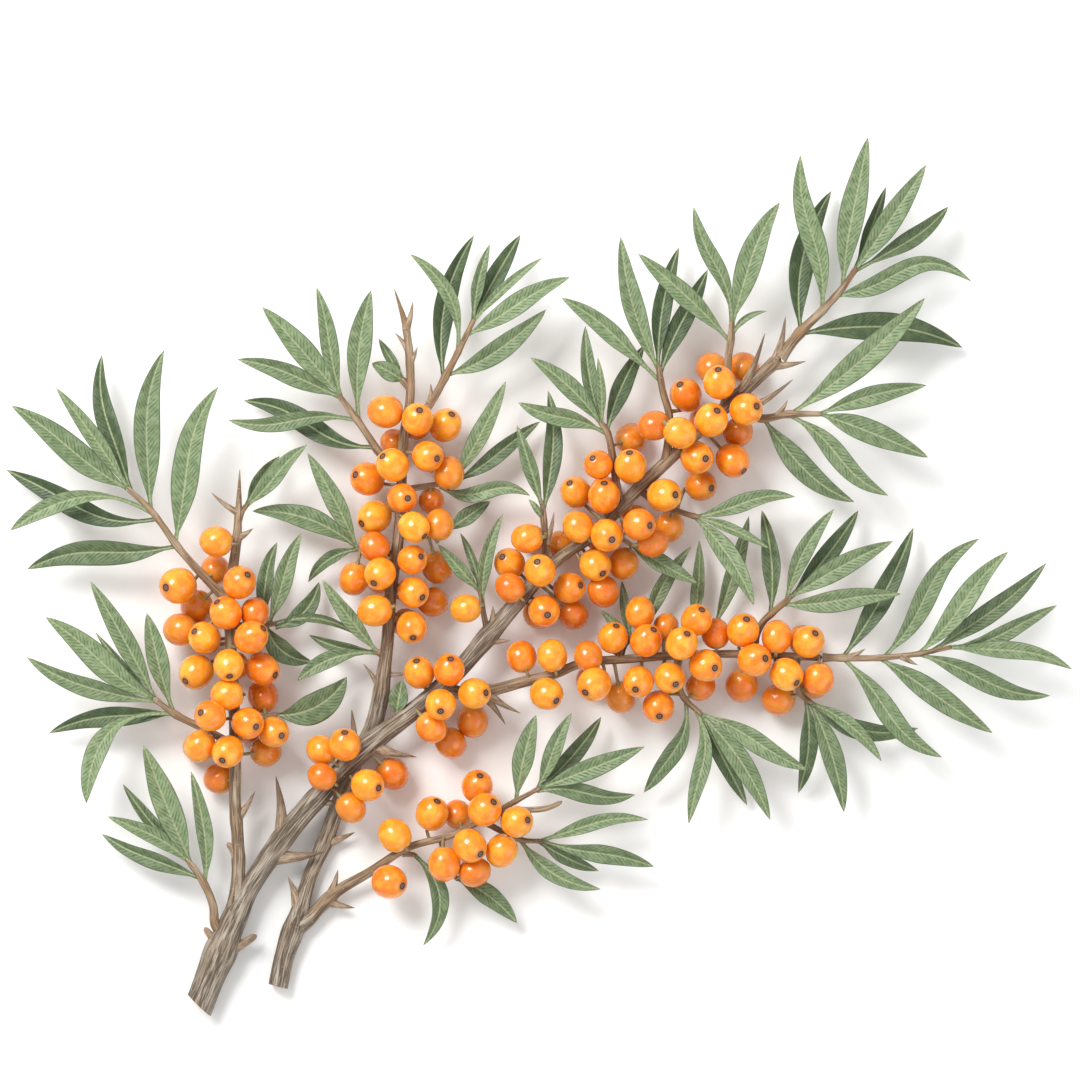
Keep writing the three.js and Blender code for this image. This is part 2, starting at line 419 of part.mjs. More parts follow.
// Each bunch lists its berries as [x, y, radius, layer], with layer 0 behind the wood, 1 beside it
// and 2 in front. Their heights follow from the rule in settleBunch.
const BUNCHES = {
  berries_left: [
    [-81, 2.1, 3.8, 0], [-85.6, -7.1, 4.2, 0], [-70.8, -8.7, 3.8, 0], [-89.6, -12.9, 4.3, 0],
    [-69, -29.7, 4.1, 0], [-68.3, -43.6, 3.9, 0], [-80, -50.3, 4, 0], [-80.4, 9.1, 4.1, 1],
    [-90, -1.9, 4.8, 1], [-74.6, -1.1, 4.3, 1], [-85.6, -23.5, 4.5, 1], [-69, -22.7, 4.3, 1],
    [-77.6, -29.1, 4.1, 1], [-81.8, -34.3, 4.1, 1], [-66.2, -38.5, 4.1, 1], [-84.5, -41.9, 4, 1],
    [-78, -8.7, 4.2, 2], [-83.4, -14.9, 4.2, 2], [-71.6, -14.7, 4.3, 2], [-77.2, -21.7, 4.1, 2],
    [-72.5, -36.2, 4.2, 2], [-77.5, -43.3, 4.2, 2],
  ],
  berries_crossing_left: [[-54, -49.6, 3.6, 0], [-54.2, -43.1, 3.9, 1], [-48.3, -41.6, 4.2, 2]],
  berries_crossing_right: [[-46.9, -57.4, 3.9, 0], [-36.6, -49, 4.2, 0], [-42.7, -51.7, 4.3, 2]],
  berries_middle: [
    [-36.2, 34, 3.6, 0], [-22.4, 26.2, 4.1, 0], [-26.8, 19.3, 3.4, 0], [-24.8, 13.3, 3.9, 0],
    [-40.9, 7.8, 3.9, 0], [-25.4, 2.7, 4.1, 0], [-26.5, -6, 3.9, 0], [-38.2, 41.6, 4.4, 1],
    [-23.2, 38.2, 4.3, 1], [-42.8, 24.8, 4.4, 1], [-41.1, 15.2, 4.4, 1], [-46.1, -0.2, 4.1, 1],
    [-40.8, -8.1, 4.3, 1], [-30.2, 39.6, 4.2, 2], [-27.6, 30.4, 4.1, 2], [-36.4, 28.2, 4.3, 2],
    [-34, 20, 3.9, 2], [-31, 12.7, 4, 2], [-31.5, 4.6, 3.9, 2], [-39.5, 1.1, 4.2, 2],
    [-31.3, -3.5, 4.1, 2], [-31.7, -12.3, 4.1, 2],
  ],
  berries_fork: [
    [-16.5, -35.8, 4.2, 0], [-22, -41.3, 4, 0], [-29.8, -23.6, 4.1, 1], [-26.8, -37.2, 4, 1],
    [-16, -28.8, 4.1, 1], [-22.3, -22.9, 4.1, 2], [-24.4, -31.5, 4.1, 2],
  ],
  berry_fork_single: [[-18.1, -7.6, 3.8, 1]],
  berries_centre: [
    [-7.1, -2.4, 3.8, 0], [5.3, 8.4, 3.6, 0], [8.7, -9.1, 3.9, 0], [-7.2, 3.6, 4.1, 1],
    [-2.8, 9.9, 3.9, 1], [7.7, -2.5, 4.1, 1], [0.4, 1.9, 4.2, 2], [1.4, -8.2, 4.2, 2],
  ],
  berries_upper_left: [
    [23.1, 34.9, 4.1, 0], [28.8, 38, 4, 0], [32.8, 12.8, 3.9, 0], [28.5, 8.8, 3.8, 0],
    [21.3, 3.6, 4, 0], [16.2, -3.3, 4.1, 0], [9.9, 12.8, 4, 1], [9.3, 21.4, 4.1, 1],
    [14.9, 28.3, 3.8, 1], [14.2, 3.3, 4.2, 1], [25.1, 13.4, 4.2, 1], [31.4, 20.7, 4.4, 2],
    [16.4, 20.4, 4.3, 2], [23, 28, 4.3, 2], [17, 10.7, 4.3, 2],
  ],
  berries_upper_right: [
    [43.3, 52.7, 4, 0], [51.5, 52.7, 4, 0], [50, 36.5, 3.9, 0], [40.6, 23.1, 4.1, 0],
    [36.8, 45.7, 4.3, 1], [35.2, 36.2, 4.1, 1], [48.6, 29.4, 4.4, 1], [45.1, 48.8, 4.3, 2],
    [51.8, 42.1, 4.3, 2], [39.6, 30, 4.3, 2], [43.1, 39.4, 4.4, 2],
  ],
  berries_right_pair: [[-4.2, -19.7, 4, 1], [3.4, -19.4, 4, 1]],
  berry_right_hanging: [[2, -28.9, 4.3, 1]],
  berries_right_inner: [
    [12.4, -19.5, 3.8, 0], [31.9, -12.3, 3.4, 0], [44.3, -13.9, 3.8, 0], [20.5, -29.9, 4, 0],
    [40.6, -27.1, 3.8, 0], [18.6, -14.9, 4, 1], [25.4, -8.7, 3.9, 1], [39.4, -10.5, 4.1, 1],
    [13.9, -26.5, 4.4, 1], [30, -32.2, 4.2, 1], [32.8, -24.9, 4.1, 1], [26.9, -15.6, 4.2, 2],
    [35.7, -16.3, 4.2, 2], [24.9, -25.9, 4.1, 2], [41.7, -21.8, 4.3, 2],
  ],
  berries_right_outer: [
    [50.9, -26.8, 4.3, 0], [60.1, -30.5, 4.2, 0], [51, -13, 4.3, 1], [59.5, -14.7, 4.1, 1],
    [67.4, -15.9, 4.2, 1], [70, -25.2, 4.1, 1], [61.9, -24, 4.3, 2], [53.9, -20.4, 4.4, 2],
  ],
  berry_lower_above: [[-35.9, -64.3, 4.3, 1]],
  berry_lower_below: [[-37.3, -76, 4.5, 1]],
  berries_lower: [
    [-20.3, -59.2, 3.8, 0], [-16, -73.5, 4, 0], [-26.6, -58.9, 4.4, 1], [-15.3, -52.1, 4.2, 1],
    [-5.4, -60.8, 4.2, 1], [-23.5, -71.4, 4.3, 1], [-9.2, -68.1, 4.2, 1], [-17.2, -66.8, 4.4, 2],
    [-13.4, -57.8, 4.4, 2],
  ],
};

// ---------------------------------------------------------------- shapes

const UP = new THREE.Vector3(0, 0, 1);

// The frame of a path at one of its points: forward, to the left and upward.
function frameAlong(points, index) {
  const before = points[Math.max(index - 1, 0)];
  const after = points[Math.min(index + 1, points.length - 1)];
  const forward = after.clone().sub(before).normalize();
  const left = UP.clone().cross(forward).normalize();
  return { forward, left, up: forward.clone().cross(left) };
}

// One closed surface over rings of equally many points; a ring of one point is a sharp end.
function loft(rings) {
  const sides = rings[0].length;
  const positions = rings.flat().flatMap((point) => point.toArray());
  const index = [];
  rings.slice(1).forEach((ring, k) => {
    for (let j = 0; j < sides; j += 1) {
      const near = k * sides + j;
      const next = k * sides + ((j + 1) % sides);
      if (ring.length === 1) index.push(near, next, (k + 1) * sides);
      else index.push(near, next, next + sides, near, next + sides, near + sides);
    }
  });
  const last = (rings.length - 1) * sides;
  for (let j = 1; j + 1 < sides; j += 1) {
    index.push(0, j + 1, j);
    if (rings.at(-1).length > 1) index.push(last, last + j, last + j + 1);
  }
  const geometry = new THREE.BufferGeometry();
  geometry.setAttribute("position", new THREE.Float32BufferAttribute(positions, 3));
  geometry.setIndex(index);
  return geometry;
}

function toSolid(geometry) {
  geometry.deleteAttribute("normal");
  geometry.deleteAttribute("uv");
  const merged = mergeVertices(geometry);
  const vertProperties = merged.attributes.position.array;
  const triVerts = Uint32Array.from(merged.index.array);
  return new Manifold(new wasm.Mesh({ numProp: 3, vertProperties, triVerts }));
}

const join = (solids) => solids.reduce((all, solid) => all.add(solid));

// A round tapering length of wood; grow makes it thicker and longer at both ends.
function woodSolid(rows, sides, grow = 0) {
  const points = rows.map(([x, y, z]) => new THREE.Vector3(x, y, z));
  const ends = points.map((point) => point.clone());
  ends[0].sub(frameAlong(points, 0).forward.multiplyScalar(grow));
  ends.at(-1).add(frameAlong(points, points.length - 1).forward.multiplyScalar(grow));
  const rings = ends.map((centre, i) => {
    if (rows[i][3] < SHARP_LIMIT) return [centre];
    const { left, up } = frameAlong(points, i);
    return Array.from({ length: sides }, (_, j) => {
      const turn = ((j + 0.5) / sides) * 2 * Math.PI;
      const across = left.clone().multiplyScalar(Math.cos(turn)).addScaledVector(up, Math.sin(turn));
      return centre.clone().addScaledVector(across, rows[i][3] + grow);
    });
  });
  return toSolid(loft(rings));
}

// A thorn or bud, which tapers faster over the first half of its length.
const THORN_WAIST = 0.55; // radius at half length, as a share of the radius at the foot
function thornRows([x, y, z, radius, tipX, tipY, tipZ, tipRadius]) {
  const at = (t, r) => [x + (tipX - x) * t, y + (tipY - y) * t, z + (tipZ - z) * t, r];
  return [at(0, radius), at(0.5, radius * THORN_WAIST), at(1, tipRadius)];
}

// Width of a leaf along its length, as a share of its full width: a narrow foot, widest a little
// before the middle, then an even run to the point.
const FULLEST = 0.463;
const FOOT_TAPER = 1.5;
const POINT_TAPER = 0.8;
function bladeShare(t, fullest = FULLEST) {
  const skew = Math.log(0.5) / Math.log(fullest);
  return Math.sin(Math.PI * t ** skew) ** (t < fullest ? FOOT_TAPER : POINT_TAPER);
}

// Points of the midrib of a leaf at the given stations. Most of its lift comes towards the tip.
const LIFT_DELAY = 1.3;
function midrib([x, y, tipX, tipY, , bow, sway, lift], rootHeight, stations) {
  const run = new THREE.Vector2(tipX - x, tipY - y);
  const left = new THREE.Vector2(-run.y, run.x).normalize();
  return stations.map((t) => {
    const side = bow * 4 * t * (1 - t) + sway * Math.sin(2 * Math.PI * t);
    const rise = lift * t ** LIFT_DELAY + LEAF_ARCH * 4 * t * (1 - t);
    const height = Math.max(rootHeight + rise, TABLE_CLEAR);
    return new THREE.Vector3(x + run.x * t + left.x * side, y + run.y * t + left.y * side, height);
  });
}

// A leaf of three-cornered cross-sections, with the midrib as a keel below. Each blade is rolled a
// little in its own way: fully from a quarter of its length on, and not at its foot.
const ROLL_STEP = 2.4; // from one leaf of a shoot to the next, in radians
function leafSolid(row, rootHeight, order) {
  const [, , , , width, bow, sway, , fullest] = row;
  const stations = Math.abs(bow) + Math.abs(sway) < BOWED ? PLAIN_STATIONS : BOWED_STATIONS;
  const points = midrib(row, rootHeight, stations);
  const roll = LEAF_ROLL * Math.sin(ROLL_STEP * order + width);
  const rings = points.map((centre, i) => {
    const t = stations[i];
    if (t === 1) return [centre];
    const { left, up } = frameAlong(points, i);
    const half = Math.max(width * bladeShare(t, fullest), LEAF_STALK) / 2;
    const turn = roll * Math.min(t * 4, 1);
    const corner = (side) =>
      centre
        .clone()
        .addScaledVector(left, side * half * Math.cos(turn))
        .addScaledVector(up, side * half * Math.sin(turn) + LEAF_THICKNESS / 2);
    return [corner(1), corner(-1), centre.clone().addScaledVector(up, -LEAF_THICKNESS / 2)];
  });
  return toSolid(loft(rings));
}

// Height of a twig beside a point of the table.
function heightBeside(rows, x, y) {
  let best = { away: Infinity, height: 0 };
  for (let i = 0; i + 1 < rows.length; i += 1) {
    const [ax, ay, az] = rows[i];
    const [bx, by, bz] = rows[i + 1];
    const length = Math.hypot(bx - ax, by - ay);
    const t = THREE.MathUtils.clamp(((x - ax) * (bx - ax) + (y - ay) * (by - ay)) / length ** 2, 0, 1);
    const away = Math.hypot(x - ax - t * (bx - ax), y - ay - t * (by - ay));
    if (away < best.away) best = { away, height: az + t * (bz - az) };
  }
  return best.height;
}

// A twenty-faced ball that stands on one of its corners.
const CORNER = new THREE.Vector3(-1, (1 + Math.sqrt(5)) / 2, 0).normalize();
const STAND = new THREE.Quaternion().setFromUnitVectors(CORNER, UP);
function berrySolid({ x, y, z, radius }) {
  const geometry = new THREE.IcosahedronGeometry(radius).applyQuaternion(STAND);
  geometry.scale(BERRY_SWELL, BERRY_SWELL, 1).translate(x, y, z);
  return toSolid(geometry);
}

// ---------------------------------------------------------------- where the berries sit

// Balls strung along a length of wood, which berries keep clear of.
function ballsAlong(rows) {
  return rows.slice(1).flatMap((end, i) => {
    const start = rows[i];
    const steps = Math.ceil(Math.hypot(end[0] - start[0], end[1] - start[1], end[2] - start[2]));
    return Array.from({ length: steps + 1 }, (_, k) => {
      const [x, y, z, radius] = start.map((value, n) => value + ((end[n] - value) * k) / steps);
      return { x, y, z, radius: radius + GAP };
    });
  });
}

// The same for a leaf: three rows of small balls, along the midrib and near both edges.
const BALLS_ALONG_LEAF = 25;
const NEAR_EDGE = 0.8;
function ballsOver(row, rootHeight) {
  const stations = Array.from({ length: BALLS_ALONG_LEAF }, (_, k) => k / (BALLS_ALONG_LEAF - 1));
  const points = midrib(row, rootHeight, stations);
  const [, , , , width, , , , fullest] = row;
  return points.flatMap((centre, i) => {
    const { left } = frameAlong(points, i);
    const half = Math.max(width * bladeShare(stations[i], fullest), LEAF_STALK) / 2;
    return [-NEAR_EDGE, 0, NEAR_EDGE].map((share) => {
      const point = centre.clone().addScaledVector(left, share * half);
      return { x: point.x, y: point.y, z: point.z, radius: LEAF_THICKNESS / 2 + GAP };
    });
  });
}

// The distance that a berry of this radius keeps from a ball of wood or leaf, or from a berry.
const reachOf = (ball, radius) =>
  ball.berry ? NEST * (radius + ball.radius) : radius * BERRY_SWELL + ball.radius;

// The least height at or over start where a berry is clear of every ball.
function raised(x, y, radius, start, balls) {
  let height = start;
  for (let clear = false; !clear; ) {
    clear = true;
    for (const ball of balls) {
      const reach = reachOf(ball, radius);
      const away = Math.hypot(x - ball.x, y - ball.y);
      if (away >= reach) continue;
      const half = Math.sqrt(reach ** 2 - away ** 2);
      if (height > ball.z - half + CLEAR && height < ball.z + half - CLEAR) {
        height = ball.z + half;
        clear = false;
      }
    }
  }
  return height;
}

const overlapsAny = (berry, balls) =>
  balls.some((ball) => {
    const away = Math.hypot(berry.x - ball.x, berry.y - ball.y, berry.z - ball.z);
    return away < reachOf(ball, berry.radius) - CLEAR;
  });

// A repeatable draw between -1 and 1.
const DRAW_FACTOR = 16807;
const DRAW_RANGE = 2147483647;
function makeDraw(seed) {
  let state = seed;
  return () => {
    state = (state * DRAW_FACTOR) % DRAW_RANGE;
    return (state / DRAW_RANGE) * 2 - 1;
  };
}

// Berries of the back layer start low, the next ones beside the wood and the front ones over it;
// each rises until it is clear of wood, leaves and the berries before it. Then berries that rest on
// the table fill the underside, each below one that is not at the back, where it fits.
function settleBunch(rows, balls, seed) {
  const berries = [];
  const place = (berry) => {
    berries.push(berry);
    balls.push(berry);
  };
  for (const [x, y, radius, layer] of rows) {
    const start = Math.max(LAYER_HEIGHT[layer], radius);
    place({ x, y, z: raised(x, y, radius, start, balls), radius, berry: true });
  }
  const draw = makeDraw(seed);
  let wanted = Math.floor(rows.length * UNDER_SHARE);
  for (const [x, y, above, layer] of rows.toReversed()) {
    const radius = above * UNDER_SIZE;
    const [strayX, strayY] = [UNDER_STRAY * draw(), UNDER_STRAY * draw()];
    const under = { x: x + strayX, y: y + strayY, z: radius, radius, berry: true };
    if (wanted === 0 || layer === 0 || overlapsAny(under, balls)) continue;
    place(under);
    wanted -= 1;
  }
  return berries;
}

// Short stalks that tie the berries that are fused to no other into one bunch, nearest first.
function linksOf(berries) {
  const solids = berries.map(berrySolid);
  const fused = (i, j) => solids[i].intersect(solids[j]).volume() > FUSED_VOLUME;
  const pairs = berries.flatMap((a, i) =>
    berries.slice(i + 1).map((b, k) => ({
      i,
      j: i + 1 + k,
      gap: Math.hypot(a.x - b.x, a.y - b.y, a.z - b.z) - a.radius - b.radius,
    })),
  );
  pairs.sort((a, b) => a.gap - b.gap);
  const group = berries.map((_, i) => i);
  const merge = ({ i, j }) => {
    const [kept, gone] = [group[i], group[j]];
    group.forEach((value, n) => {
      if (value === gone) group[n] = kept;
    });
  };
  pairs.filter(({ i, j, gap }) => gap < 0 && fused(i, j)).forEach(merge);
  return pairs.flatMap((pair) => {
    if (group[pair.i] === group[pair.j]) return [];
    merge(pair);
    return [[pair.i, pair.j].map((n) => [berries[n].x, berries[n].y, berries[n].z, LINK_RADIUS])];
  });
}

// ---------------------------------------------------------------- building

const wood = {
  main_stem: [MAIN_STEM, LEFT_BRANCH, RIGHT_BRANCH],
  second_stem: [SECOND_STEM, LOWER_BRANCH],
};
const thorns = { main_stem: MAIN_THORNS, second_stem: SECOND_THORNS };

function stemSolid(name, grow = 0) {
  const lengths = wood[name].map((rows) => woodSolid(rows, STEM_SIDES, grow));
  const points = thorns[name].map((row) => woodSolid(thornRows(row), THORN_SIDES, grow));
  return join([...lengths, ...points]);
}

function shootSolid({ twig, leaves, thorns: spikes = [] }) {
  const blades = leaves.map((row, i) => leafSolid(row, heightBeside(twig, row[0], row[1]), i));
  const points = spikes.map((row) => woodSolid(thornRows(row), THORN_SIDES));
  return join([woodSolid(twig, TWIG_SIDES), ...blades, ...points]);
}

function bunchSolid(berries) {
  const stalks = linksOf(berries).map((rows) => woodSolid(rows, THORN_SIDES));
  return join([...berries.map(berrySolid), ...stalks]);
}

// The largest body of a solid: a crumb that a cut leaves is dropped.
function largest(solid) {
  const bodies = solid.decompose();
  return bodies.reduce((best, body) => (body.volume() > best.volume() ? body : best));
}

function toMesh(name, solid, material) {
  const { vertProperties, triVerts } = solid.getMesh();
  const geometry = new THREE.BufferGeometry();
  geometry.setAttribute("position", new THREE.Float32BufferAttribute(vertProperties, 3));
  geometry.setIndex(Array.from(triVerts));
  geometry.computeVertexNormals();
  const mesh = new THREE.Mesh(geometry, material);
  mesh.name = name;
  return mesh;
}

const sprig = new THREE.Group();
const grownStems = join(Object.keys(wood).map((name) => stemSolid(name, GAP)));
for (const name of Object.keys(wood)) sprig.add(toMesh(name, stemSolid(name), BARK));

for (const [name, shoot] of Object.entries(SHOOTS)) {
  sprig.add(toMesh(name, largest(shootSolid(shoot).subtract(grownStems)), LEAF));
}

const balls = [
  ...Object.values(wood).flat().flatMap(ballsAlong),
  ...Object.values(thorns).flat().map(thornRows).flatMap(ballsAlong),
  ...Object.values(SHOOTS).flatMap(({ twig, leaves, thorns: spikes = [] }) => [
    ...ballsAlong(twig),
    ...spikes.map(thornRows).flatMap(ballsAlong),
    ...leaves.flatMap((row) => ballsOver(row, heightBeside(twig, row[0], row[1]))),
  ]),
];
Object.entries(BUNCHES).forEach(([name, rows], order) => {
  const berries = settleBunch(rows, balls, FIRST_SEED + order);
  sprig.add(toMesh(name, bunchSolid(berries), BERRY));
});

export default sprig;
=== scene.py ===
"""A fruiting sea buckthorn sprig lying on a table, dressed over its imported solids.

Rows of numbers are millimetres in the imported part's frame, with +Z up from the table, and meshes
are metres. Every point of wood is [x, y, height, radius]; every other row says what its numbers are.
"""

import math

import bpy
import numpy as np
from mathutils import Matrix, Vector, noise


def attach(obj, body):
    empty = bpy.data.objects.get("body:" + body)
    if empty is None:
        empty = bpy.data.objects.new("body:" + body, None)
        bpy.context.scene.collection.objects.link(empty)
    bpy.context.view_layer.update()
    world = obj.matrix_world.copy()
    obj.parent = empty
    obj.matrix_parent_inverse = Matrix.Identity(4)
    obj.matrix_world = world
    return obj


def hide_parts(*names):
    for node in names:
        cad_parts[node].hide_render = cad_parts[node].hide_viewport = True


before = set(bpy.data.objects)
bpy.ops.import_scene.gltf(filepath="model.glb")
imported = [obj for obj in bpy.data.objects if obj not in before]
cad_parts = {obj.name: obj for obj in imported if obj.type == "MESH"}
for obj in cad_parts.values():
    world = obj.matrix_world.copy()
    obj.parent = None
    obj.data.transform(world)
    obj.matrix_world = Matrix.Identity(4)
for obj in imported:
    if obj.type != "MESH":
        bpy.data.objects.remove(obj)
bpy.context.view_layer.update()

# ---------------- main stem
# The thick cut stem with its left and right branches: one piece of wood in dry grey-brown bark,
# furrowed lengthwise, swollen where anything grows from it, with thorns and short dead snags. It is
# grown from round lengths that run into one another, and cut slantwise at its lower end.

MM = 0.001
SHARP = 0.1  # radius of the point of a thorn

MAIN_STEM = [
    [-85.7, -108.6, 3.6, 3.6], [-80.2, -95, 4, 3.5], [-76.5, -86, 4.5, 3], [-73, -78.6, 5, 2.6],
    [-67.3, -69.7, 5.6, 2.5], [-62, -62.5, 6.4, 2.7], [-55, -54.5, 7.4, 2.5], [-42.8, -42, 8, 2.5],
    [-34.5, -35.7, 8.6, 2.4], [-23.4, -26.5, 9.4, 2.2], [-11.4, -13.1, 10, 2.15], [-5, -5.7, 10.2, 2],
    [4.9, 4.7, 10.3, 1.5], [12.4, 9.9, 10.4, 1.5], [22.8, 20.2, 10.4, 1.6], [33.7, 30.6, 10.4, 1.6],
    [40.4, 37, 10.4, 1.6], [52.5, 47.9, 10.6, 1.65], [60.4, 55.1, 11, 1.4],
]

LEFT_BRANCH = [
    [-76.3, -84.5, 4.6, 1.9], [-75.2, -75, 5.6, 1.7], [-75.3, -65, 7.4, 1.55], [-75.9, -55, 9.4, 1.5],
    [-75.8, -48, 10.2, 1.5], [-76.2, -30, 10.6, 1.45], [-77, -15, 10.8, 1.4], [-77.5, -6, 11, 1.35],
    [-76.4, 2.1, 11.4, 1.3], [-75.4, 9.3, 11.8, 1.15], [-75, 15.3, 12.2, 0.95],
    [-74.6, 27.3, 13.4, SHARP],
]

RIGHT_BRANCH = [
    [-24.6, -27.8, 9.2, 1.7], [-18, -28.8, 9.2, 1.6], [-11.9, -28.1, 9.4, 1.5], [-5, -26.3, 9.6, 1.4],
    [5.3, -23.5, 9.8, 1.25], [9, -21.9, 9.9, 1.15], [22.8, -20.2, 10, 1.1], [47.4, -19, 10.2, 1],
    [71, -19.9, 10.4, 0.9],
]

# Thorns, snags and buds, from the middle of the wood to the tip:
# [x, y, height, radius, tip x, tip y, tip height, tip radius]
MAIN_THORNS = [
    [-64.3, -65, 6, 2, -65.7, -49.3, 9, SHARP], [-66.8, -70, 5.4, 2.1, -53.2, -68.5, 7.2, SHARP],
    [-78.6, -93.6, 4.2, 2.2, -70.5, -89.4, 4.6, 0.75], [-80.4, -92.8, 4.2, 1.8, -83.7, -87.5, 4.6, 0.8],
    [-55.5, -55.8, 7.4, 1.4, -51.1, -56.3, 7.6, 0.85], [-42.5, -41.8, 8, 1.8, -30.4, -44.8, 9.4, SHARP],
    [-46.6, -45.6, 8.2, 1.6, -46.7, -32.7, 10.4, SHARP], [-14, -15.4, 9.9, 1.5, -7, -15.7, 10.6, SHARP],
    [-11.8, -13.4, 10.2, 1.5, -11.4, -6.8, 11.4, SHARP], [59.2, 54.2, 11, 1.3, 61.7, 65.4, 13, SHARP],
    [58.4, 53, 11, 1.3, 66.9, 54.2, 11.6, SHARP], [50.2, 46, 11, 1.3, 56.6, 61.3, 14.4, SHARP],
    [-13, -28.8, 9.4, 1.3, -4.4, -33.9, 9.6, SHARP], [-14.5, -28.6, 9.2, 1.3, -8.2, -36.7, 9, SHARP],
    [-75.5, -60.5, 8.2, 1.3, -70.8, -53.2, 9.6, SHARP], [-75.3, -70.2, 6.6, 1.6, -78, -66.2, 7.2, 0.75],
    [-75.2, 10, 11.8, 1.2, -71.2, 12.5, 12.6, SHARP], [-75, 16.2, 12.2, 1, -81.8, 21.4, 13.2, SHARP],
]

# What a finish reads at the points of a piece: the grain, a place on the surface unrolled; a tone,
# from 0 to 1; and a seed. Each has a kind of attribute, its field, and the output that reads it.
KEPT = {
    "grain": ("FLOAT_VECTOR", "vector", 1),
    "tone": ("FLOAT", "value", 2),
    "seed": ("FLOAT", "value", 2),
}


class Growth:
    """The surface of one piece while it is gathered. finish is the number of each face's finish."""

    def __init__(self):
        self.points, self.grain, self.tone, self.seed = [], [], [], []
        self.faces, self.finish = [], []
        self.size = 0

    def add_points(self, points, grain, tone, seed):
        """Keeps points and returns the number of the first."""
        points = np.reshape(points, (-1, 3))
        self.points.append(points)
        self.grain.append(np.reshape(grain, (-1, 3)))
        self.tone.append(np.broadcast_to(np.ravel(tone), len(points)))
        self.seed.append(np.full(len(points), seed))
        self.size += len(points)
        return self.size - len(points)

    def loft(self, rings, grain, tone, seed, finish, start=None, end=None):
        """A skin over closed rings of points. start and end are sharp ends: (point, grain, tone).
        finish is a number for all the skin, or one for each strip along it."""
        count, sides = rings.shape[:2]
        first = self.add_points(rings, grain, tone, seed)
        near = np.arange(sides)
        far = (near + 1) % sides
        row = first + sides * np.arange(count - 1)[:, None]
        corners = [row + near, row + far, row + far + sides, row + near + sides]
        self.faces += np.stack(corners, axis=-1).reshape(-1, 4).tolist()
        strips = np.broadcast_to(finish, sides)
        self.finish += np.tile(strips, count - 1).tolist()
        last = first + sides * (count - 1)
        for tip, ring in ((start, (first + far, first + near)), (end, (last + near, last + far))):
            if tip:
                apex = np.full(sides, self.add_points(*tip, seed))
                self.faces += np.stack([*ring, apex], axis=-1).tolist()
                self.finish += strips.tolist()


def smooth_path(rows, step):
    """Rows at most a step apart on a smooth curve through the given ones."""
    rows = np.array(rows, float)
    gaps = np.linalg.norm(np.diff(rows[:, :3], axis=0), axis=1)
    slopes = np.diff(rows, axis=0) / gaps[:, None]
    near, far = gaps[:-1, None], gaps[1:, None]
    inner = (slopes[:-1] * far + slopes[1:] * near) / (near + far)
    tangents = np.vstack([slopes[:1], inner, slopes[-1:]])
    path = [rows[:1]]
    for i, gap in enumerate(gaps):
        t = np.linspace(0, 1, math.ceil(gap / step) + 1)[1:, None]
        path.append(
            (1 + 2 * t) * (1 - t) ** 2 * rows[i] + t * (1 - t) ** 2 * gap * tangents[i]
            + t * t * (3 - 2 * t) * rows[i + 1] + t * t * (t - 1) * gap * tangents[i + 1]
        )
    return np.vstack(path)


def unit(vectors):
    return vectors / np.maximum(np.linalg.norm(vectors, axis=-1, keepdims=True), 1e-9)


def frames(points, upward=(0, 0, 1)):
    """Forward, left and up at each point of a path."""
    forward = unit(np.gradient(points, axis=0))
    left = unit(np.cross(upward, forward))
    return forward, left, np.cross(forward, left)


def lengths(points):
    """How far each point of a path is along it, as a column."""
    steps = np.linalg.norm(np.diff(points, axis=0), axis=1)
    return np.concatenate([[0], np.cumsum(steps)])[:, None]


def circle(sides):
    """How far the points of a circle of radius 1 are to the left and up."""
    turn = 2 * math.pi * np.arange(sides) / sides
    return np.cos(turn), np.sin(turn)


def rings_round(centres, left, up, to_left, upward):
    """Rings of points, each so far to the left of its centre and above it."""
    return centres[:, None] + to_left[..., None] * left[:, None] + upward[..., None] * up[:, None]


def spread(*parts):
    """The grain of rings of points, from its three parts."""
    return np.stack(np.broadcast_arrays(*parts), axis=-1)


BARK, THORN, CUT = 0, 1, 2  # numbers of the finishes of a piece of wood
STEP = 0.4  # between rings of points along the wood
FURROW = (1.0, 0.055)  # furrows per millimetre round the wood and along it
RELIEF = (0.01575, 0.045)  # their depth in young wood, and what age adds, as shares of its radius
KNOT_SWELL = 0.11  # how much thicker the wood is where something grows from it
KNOT_REACH = 1.3  # and over which distance, in its own radii
FOOT_FLARE = 0.4  # how much wider a branch is at its foot
FLARE_REACH = 1.7  # and over which distance, in its own radii
ROUND_END = 1.6  # length over which the end of a branch is rounded off
CUT_FADE = 9  # length over which a slanting cut evens out
CUT_SLANT = 1.2  # at 1 the right edge of a cut isn't cut back at all
YOUNG = 1.2  # wood of this radius or less is a young twig
OLD = 2.2  # and of this radius or more is old wood


def furrows(grain, seed):
    """Relief between about -1 and 1, drawn out along the wood."""
    across, along = FURROW
    flat = grain.reshape(-1, 3) * (across, across, along) + seed
    values = [noise.noise(Vector(point)) + 0.5 * noise.noise(Vector(point * 2.3)) for point in flat]
    return np.reshape(values, grain.shape[:-1])


